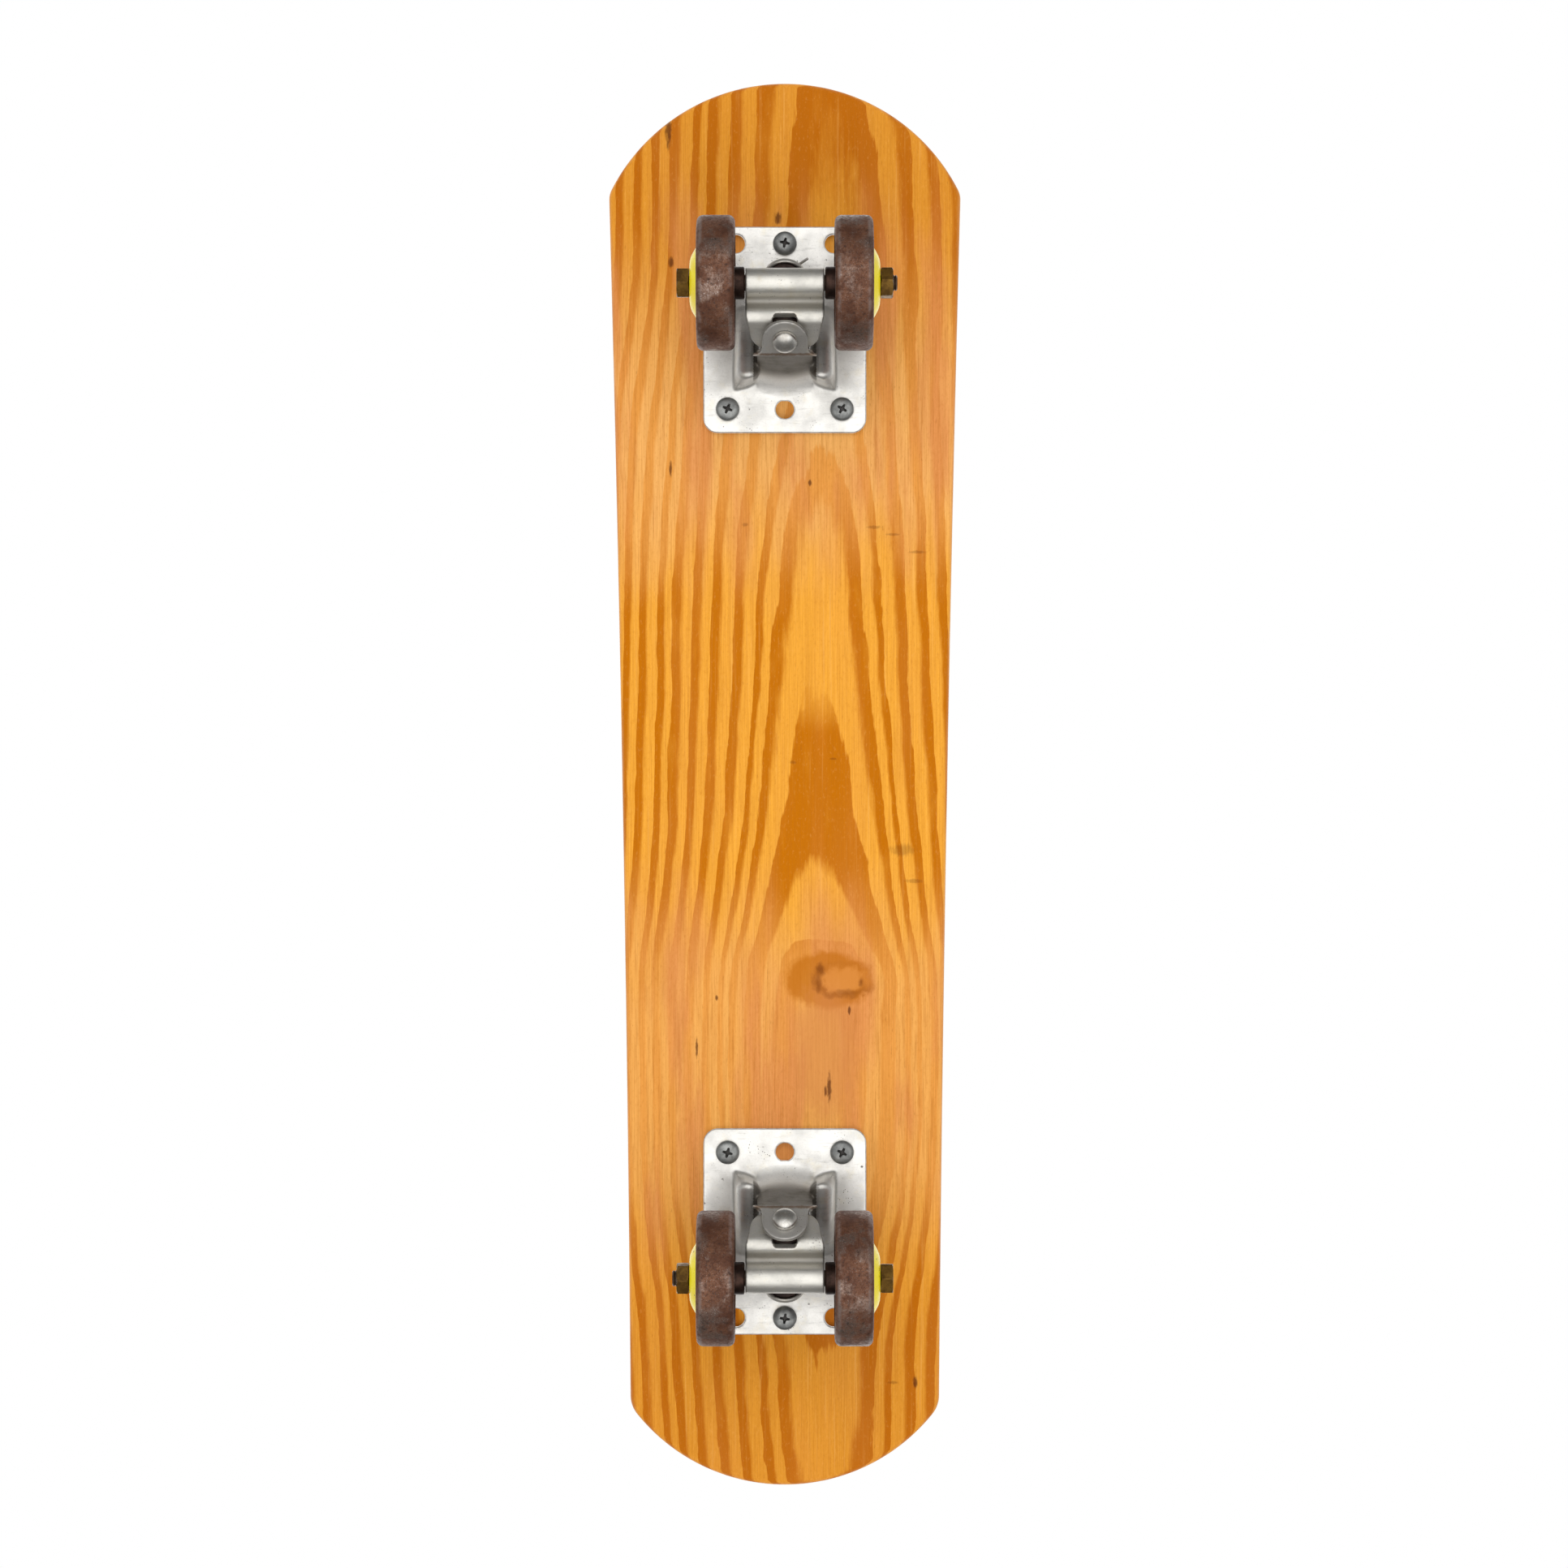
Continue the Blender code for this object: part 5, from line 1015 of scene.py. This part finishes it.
def plain_metal_finish(name, base, dark, rough, metallic, has_recess_grime_and_shade):
    """Steel with blotches of tarnish and fine scratches, in two tones."""
    metal = Finish(name, rough, metallic)
    blotch = 0.004
    cloud = metal.noise(blotch, 4.0, 0.65)
    fine = metal.noise(blotch * 0.13, 3.0, 0.7)
    colour = metal.mix(metal.step(cloud, 0.34, 0.68), base, dark)
    colour = metal.mix(metal.step(fine, 0.55, 0.75, 0.0, 0.5), colour, tuple(c * 0.55 for c in dark))
    if has_recess_grime_and_shade:
        # Grime and painted shade: near black and not metallic in a screw's recess
        grime = metal.attribute("grime")
        colour = metal.mix(grime, colour, (0.020, 0.014, 0.010))
        metal.set(Metallic=metal.eased(grime, -metallic, metallic))
    metal.bump(fine, 0.00004, 0.6)
    roughness = metal.step(cloud, 0.3, 0.7, rough * 0.8, min(rough * 1.3, 1.0))
    return metal.set(Base_Color=colour, Roughness=roughness)


def yellow_finish():
    """Yellow enamel with small chips and grime towards its rim."""
    enamel = Finish("yellow_enamel_chipped", 0.30, specular=0.5)
    cloud = enamel.noise(0.006, 3.0, 0.6)
    fine = enamel.noise(0.0010, 3.0, 0.7)
    colour = enamel.mix(enamel.step(cloud, 0.35, 0.70), (0.95, 0.80, 0.012), (0.90, 0.70, 0.010))
    grime = enamel.times(enamel.attribute("rim"), enamel.step(cloud, 0.30, 0.65, 0.15, 0.6))
    colour = enamel.mix(grime, colour, (0.30, 0.19, 0.02))
    chips = enamel.times(enamel.spots(0.0036, 0.12, 0.16), enamel.step(fine, 0.45, 0.6))
    colour = enamel.mix(chips, colour, (0.10, 0.06, 0.03))
    enamel.bump(enamel.less(enamel.times(cloud, 0.4), chips), 0.00006, 0.6)
    return enamel.set(Base_Color=colour, Roughness=enamel.step(fine, 0.3, 0.7, 0.26, 0.40))


def rubber_finish():
    """Aged black rubber."""
    rubber = Finish("aged_black_rubber", 0.75, specular=0.3)
    cloud = rubber.noise(0.004, 4.0, 0.6)
    fine = rubber.noise(0.0006, 3.0, 0.7)
    colour = rubber.mix(rubber.step(cloud, 0.35, 0.7), (0.030, 0.020, 0.017), (0.065, 0.042, 0.034))
    rubber.bump(fine, 0.00008, 0.6)
    return rubber.set(Base_Color=colour, Roughness=rubber.step(fine, 0.3, 0.7, 0.62, 0.85))


# Putting pieces in place


def piece(name, bm, place, body, node, slot, finish, sharp=38, layers=()):
    """One finished piece: it rides on its body and stands for its CAD node; the slot it is given is not used.

    Each layer is a point attribute, from a function of the point in the piece's own frame.
    """
    bmesh.ops.recalc_face_normals(bm, faces=bm.faces)
    mesh = bpy.data.meshes.new(name)
    bm.to_mesh(mesh)
    bm.free()
    for layer, share in layers:
        values = [share(v.co) for v in mesh.vertices]
        mesh.attributes.new(layer, "FLOAT", "POINT").data.foreach_set("value", values)
    mesh.transform(place)
    mesh.shade_smooth()
    mesh.set_sharp_from_angle(angle=math.radians(sharp))
    mesh.materials.append(finishes[finish])
    made = bpy.data.objects.new(name, mesh)
    bpy.context.scene.collection.objects.link(made)
    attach(made, body)
    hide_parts(node)
    return made


def truck_place(name):
    at = shift(AXLE_X[name], 0, UNDERSIDE)
    return at @ turn(180, "Z") if name == "front" else at


def wheel_place(side):
    level = Matrix.Translation(AXLE_IN_PIN) @ Matrix.Rotation(PIN_LEAN, 4, "Y")
    return level @ shift(0, side * HALF_TRACK, 0) @ turn(-90 * side, "X")


def edge_share(co):
    """1 on the plank's rounded edges and sides, 0 on its faces."""
    middle = UNDERSIDE + DECK_THICKNESS / 2
    from_face = DECK_THICKNESS / 2 - abs(co.z - middle)
    return smooth(from_face, 0.2 * MM, 2 * MM)


def tab_share(co):
    """Where the paint of the base plate wears through: the bend of the tab, and the plate's outer edges."""
    local = pin_place().inverted() @ co
    bend = max(0.0, 1 - abs(local.x - 6.6 * MM) / (1.9 * MM)) if abs(local.z) < 2.6 * MM else 0.0
    if abs(local.y) < 12.6 * MM and bend > 0:
        return bend
    half = PLATE_LENGTH / 2
    across = abs(co.y) - PLATE_WIDTH / 2 + 6 * MM
    along = abs(co.x + PLATE_OUTWARD - half) - half + 6 * MM
    out = math.hypot(max(across, 0), max(along, 0)) + min(max(across, along), 0)
    return 0.75 * smooth(out, 5.2 * MM, 5.95 * MM) if co.z > PLATE_FACE - 0.4 * MM else 0.0


def plate_painted_shade(co):
    """Painted shade on the plate: dark on the wall under the tab, on the tab and at the rib feet, thin and
    grey beside the ribs.
    """
    up = smooth(-co.z, 3 * MM, 20 * MM)
    local = pin_place().inverted() @ co
    on_wall = abs(co.y) < 12.5 * MM and local.x > 7.6 * MM and co.x < 40 * MM and co.z < PLATE_FACE - 0.6 * MM
    wall = 0.08 + 0.91 * up if on_wall else 0.0
    flat = smooth(co.z, PLATE_FACE - 5 * MM, PLATE_FACE)
    between = smooth(co.x, -6 * MM, 6 * MM) * smooth(co.x, 41 * MM, 33 * MM)
    beside = smooth(abs(co.y), 33 * MM, 20 * MM) * between
    on_tab = abs(local.z) < 2.6 * MM and local.x < 8.5 * MM and math.hypot(local.x, local.y) < 15 * MM
    raised = smooth(PLATE_FACE - co.z, 0.2 * MM, 1 * MM)
    at_rib_foot = smooth(abs(co.y), 9.5 * MM, 12 * MM) * smooth(co.x, 32 * MM, 36 * MM) * raised
    return max(wall, 0.42 * flat * beside, 0.50 if on_tab else 0.0, 0.35 * at_rib_foot)


def dull_share(co):
    """The wall under the tab, where the paint never rubs: it turns matt towards its foot."""
    on_wall = co.x > 22 * MM and co.z < PLATE_FACE - 0.2 * MM
    return smooth(-co.z, 20 * MM, 5 * MM) * smooth(abs(co.y), 13.5 * MM, 10.5 * MM) if on_wall else 0.0


def hanger_share(co):
    """Where the hanger's paint wears: its ends beside the wheels."""
    return 0.55 * smooth(abs(co.y), 14.2 * MM, 15.4 * MM)


def hanger_painted_shade(co):
    """Painted shade on the hanger: in the valley beside the axle tube and on the side that faces the tongue.
    """
    away = co.x - AXLE_IN_PIN.x
    on_tube = smooth(away, 2.0 * MM, 4.8 * MM) * smooth(co.z, 22 * MM, 17 * MM)
    return 0.66 * on_tube * smooth(co.z, 7.2 * MM, 9.4 * MM)


def recess_grime_and_shade(co):
    """Grime and painted shade in the cross recess of a screw, darker towards its bottom."""
    inside = math.hypot(co.x, co.y) < 2.6 * MM
    return smooth(co.z, -2.7 * MM, -1.6 * MM) if inside and co.z < -1.1 * MM else 0.0


def tread_share(co):
    return smooth(math.hypot(co.x, co.y), 25.2 * MM, 26.4 * MM)


def shoulder_highlight_share(co):
    """Painted highlight on the line where the tread turns into its shoulder."""
    radius = math.hypot(co.x, co.y)
    from_line = abs(abs(co.z) - (HALF_TREAD - 1.5 * MM))
    return max(0.0, 1 - from_line / (1.1 * MM)) * smooth(radius, 24.6 * MM, 25.8 * MM)


def rim_share(co):
    return smooth(math.hypot(co.x, co.y), 15.8 * MM, 18.6 * MM)

finishes = {
    "pine": pine_finish(),
    "plate": silver_finish("silver_paint_on_plate", (0.89, 0.87, 0.825), 0.85, 0.75),
    "hanger": silver_finish("silver_paint_on_hanger", (0.79, 0.765, 0.70), 0.80, 0.55),
    "tyre": rusty_tread_finish(),
    "cap": yellow_finish(),
    "rubber": rubber_finish(),
}
# Plain metals: name, base colour, dark colour, roughness, metallic
for key, *looks in (
    ("zinc", "grey_zinc_plate", (0.34, 0.345, 0.33), (0.20, 0.205, 0.20), 0.42, 0.85),
    ("screw", "grey_zinc_screw", (0.36, 0.365, 0.35), (0.22, 0.225, 0.22), 0.42, 0.85),
    ("pin", "king_pin_steel", (0.78, 0.76, 0.71), (0.52, 0.49, 0.44), 0.30, 0.95),
    ("axle", "oiled_axle_steel", (0.17, 0.12, 0.085), (0.09, 0.055, 0.035), 0.42, 0.85),
    ("nut", "brown_nut_plating", (0.235, 0.128, 0.022), (0.100, 0.050, 0.010), 0.45, 0.7),
    ("cone", "dark_cone_steel_oiled", (0.060, 0.030, 0.021), (0.026, 0.014, 0.010), 0.38, 0.8),
    ("disc", "dark_disc_steel", (0.070, 0.042, 0.032), (0.030, 0.018, 0.014), 0.6, 0.5),
    ("ball", "bearing_ball_steel", (0.62, 0.61, 0.60), (0.40, 0.37, 0.34), 0.2, 1.0),
):
    finishes[key] = plain_metal_finish(*looks, has_recess_grime_and_shade=(key == "screw"))

plank = piece(
    "pine_deck", deck_shape(), Matrix.Identity(4), "board", "deck", "pine", "pine", 30, [("edge", edge_share)]
)
plank.visible_glossy = False

for truck in ("front", "rear"):
    here = truck_place(truck)
    pin_line = here @ pin_place()
    layers = [("worn", tab_share), ("painted_shade", plate_painted_shade), ("dull", dull_share)]
    piece(f"{truck}_pressed_plate", base_plate_shape(), here, "board", f"{truck}_base_plate", "plate_paint",
          "plate", 60, layers)
    for spot, (x, y) in SCREW_SPOTS.items():
        at = here @ shift(x * MM, y * MM, PLATE_FACE - GAP) @ turn(SCREW_TURNS[truck][spot], "Z")
        piece(f"{truck}_{spot}_wood_screw", screw_shape(), at, "board", f"{truck}_{spot}_screw", "grey_zinc",
              "screw", 38, [("grime", recess_grime_and_shade)])
    for name, shape, node, slot, finish in (
        ("domed_king_pin", king_pin_shape(), "king_pin", "pin_steel", "pin"),
        ("upper_rubber", cushion_shape(*UPPER_CUSHION), "upper_cushion", "black_rubber", "rubber"),
        ("lower_rubber", cushion_shape(*LOWER_CUSHION), "lower_cushion", "black_rubber", "rubber"),
        ("dished_washer", cup_washer_shape(CUP_FACE), "cup_washer", "plate_paint", "hanger"),
        ("plain_washer", flat_washer_shape(WASHER_FACE), "flat_washer", "grey_zinc", "zinc"),
    ):
        piece(f"{truck}_{name}", shape, pin_line, "board", f"{truck}_{node}", slot, finish)
    at = pin_line @ turn(COTTER_TURNS[truck], "Z")
    cotter = cotter_pin_shape(COTTER_LINE)
    piece(f"{truck}_split_pin", cotter, at, "board", f"{truck}_cotter_pin", "pin_steel", "pin")
    body = f"{truck}_truck"
    piece(f"{truck}_stamped_hanger", hanger_shape(), pin_line, body, f"{truck}_hanger", "hanger_steel",
          "hanger", 60, [("worn", hanger_share), ("painted_shade", hanger_painted_shade)])
    at = pin_line @ Matrix.Translation(AXLE_IN_PIN) @ turn(90, "X")
    piece(f"{truck}_threaded_axle", axle_shape(), at, body, f"{truck}_axle", "axle_steel", "axle")

for wheel, side in SIDES.items():
    truck = wheel.split("_")[0]
    at = truck_place(truck) @ pin_place() @ wheel_place(side)
    hub, spin, balls = f"{truck}_truck", f"{wheel}_wheel", f"{wheel}_balls"
    tread = [("tread", tread_share), ("shoulder", shoulder_highlight_share)]
    for name, shape, body, node, slot, finish, *rest in (
        ("inner_race_cone", cone_shape(False), hub, "inner_cone", "cone_steel", "cone"),
        ("outer_race_cone", cone_shape(True), hub, "outer_cone", "cone_steel", "cone"),
        ("hex_nut", nut_shape(), hub, "axle_nut", "nut_brown", "nut", 30),
        ("steel_tread", tyre_shape(), spin, "tyre", "rusty_steel", "tyre", 40, tread),
        ("pressed_disc", disc_shape(), spin, "wheel_disc", "disc_steel", "disc"),
        ("yellow_cap", cap_shape(), spin, "hub_cap", "yellow_enamel", "cap", 50, [("rim", rim_share)]),
        ("inner_balls", balls_shape(-1), balls, "inner_ball_ring", "ball_steel", "ball"),
        ("outer_balls", balls_shape(1), balls, "outer_ball_ring", "ball_steel", "ball"),
    ):
        piece(f"{wheel}_{name}", shape, at, body, f"{wheel}_{node}", slot, finish, *rest)


# Floor, light and camera


def studio_floor():
    """A pale floor under the wheels. It is seen only from above, and lets the light from below through."""
    bm = bmesh.new()
    bmesh.ops.create_grid(bm, x_segments=1, y_segments=1, size=6.0)
    floor = as_object(bm, "studio_floor")
    pale = bpy.data.materials.new("pale_floor")
    pale.use_nodes = True
    tree = pale.node_tree
    tree.nodes.clear()
    below = add_node(tree, "ShaderNodeNewGeometry").outputs["Backfacing"]
    matte = add_node(tree, "ShaderNodeBsdfDiffuse", {"Color": (0.93, 0.93, 0.93, 1.0)}).outputs[0]
    clear = add_node(tree, "ShaderNodeBsdfTransparent").outputs[0]
    blend = add_node(tree, "ShaderNodeMixShader", {0: below, 1: matte, 2: clear}).outputs[0]
    add_node(tree, "ShaderNodeOutputMaterial", {0: blend})
    floor.data.materials.append(pale)
    floor.visible_shadow = False
    floor.visible_diffuse = False
    floor.visible_glossy = False


def studio_world():
    """White behind the board. Metal sees it bright above and below, dimmer round the horizon."""
    world = bpy.data.worlds.new("studio")
    bpy.context.scene.world = world
    world.use_nodes = True
    tree = world.node_tree

    def made(kind, values, **settings):
        return add_node(tree, kind, values, **settings).outputs[0]

    def towards(axis, low, high, out_low, out_high):
        share = made("ShaderNodeMath", {0: axis}, operation="ABSOLUTE")
        values = {0: share, 1: low, 2: high, 3: out_low, 4: out_high}
        return made("ShaderNodeMapRange", values, interpolation_type="SMOOTHSTEP")

    ray = add_node(tree, "ShaderNodeLightPath").outputs
    way = add_node(tree, "ShaderNodeTexCoord").outputs["Generated"]
    axes = add_node(tree, "ShaderNodeSeparateXYZ", {0: way}).outputs
    above = towards(axes["Z"], 0.45, 0.98, 0.09, 1.52)
    beside = towards(axes["Y"], 0.55, 0.95, 0.0, 0.30)
    mirrored_light = made("ShaderNodeMath", {0: above, 1: beside}, operation="ADD")
    light = made("ShaderNodeMix", {0: ray["Is Glossy Ray"], 2: 0.78, 3: mirrored_light})
    seen = {0: ray["Is Camera Ray"], 1: ray["Is Transmission Ray"]}
    white = made("ShaderNodeMath", seen, operation="MAXIMUM")
    background = tree.nodes["Background"]
    background.inputs["Color"].default_value = (1, 1, 1, 1)
    put(background.inputs["Strength"], made("ShaderNodeMix", {0: white, 2: light, 3: 1.0}))


def lamp(name, at, aim, size, power):
    light = bpy.data.lights.new(name, "AREA")
    light.shape = "DISK"
    light.size = size
    light.energy = power
    made = bpy.data.objects.new(name, light)
    made.location = at
    made.rotation_euler = (Vector(aim) - Vector(at)).to_track_quat("-Z", "Y").to_euler()
    made.visible_glossy = False
    bpy.context.scene.collection.objects.link(made)


def camera():
    """Straight below the board's middle, looking up, with the nose at the top of the picture."""
    view = bpy.data.cameras.new("camera")
    view.sensor_width = 36.0
    view.lens = 94.05
    view.clip_start = 0.05
    view.clip_end = 50.0
    made = bpy.data.objects.new("camera", view)
    made.matrix_world = Matrix((
        (0, 1, 0, 0.00008),
        (1, 0, 0, -0.00033),
        (0, 0, -1, UNDERSIDE - 1.65),
        (0, 0, 0, 1),
    ))
    bpy.context.scene.collection.objects.link(made)
    bpy.context.scene.camera = made


studio_floor()
studio_world()
lamp("under_nose", (0.72, -0.06, -0.80), (0.12, 0, 0.05), 0.7, 2.6)
lamp("under_tail", (-0.72, 0.06, -0.80), (-0.12, 0, 0.05), 0.7, 2.6)
lamp("upper_key", (0.8, -1.0, 1.9), (0, 0, 0.05), 1.4, 11.0)
lamp("upper_fill", (-0.9, 0.9, 1.8), (0, 0, 0.05), 1.6, 4.0)
camera()
bpy.context.scene.view_settings.view_transform = "Standard"
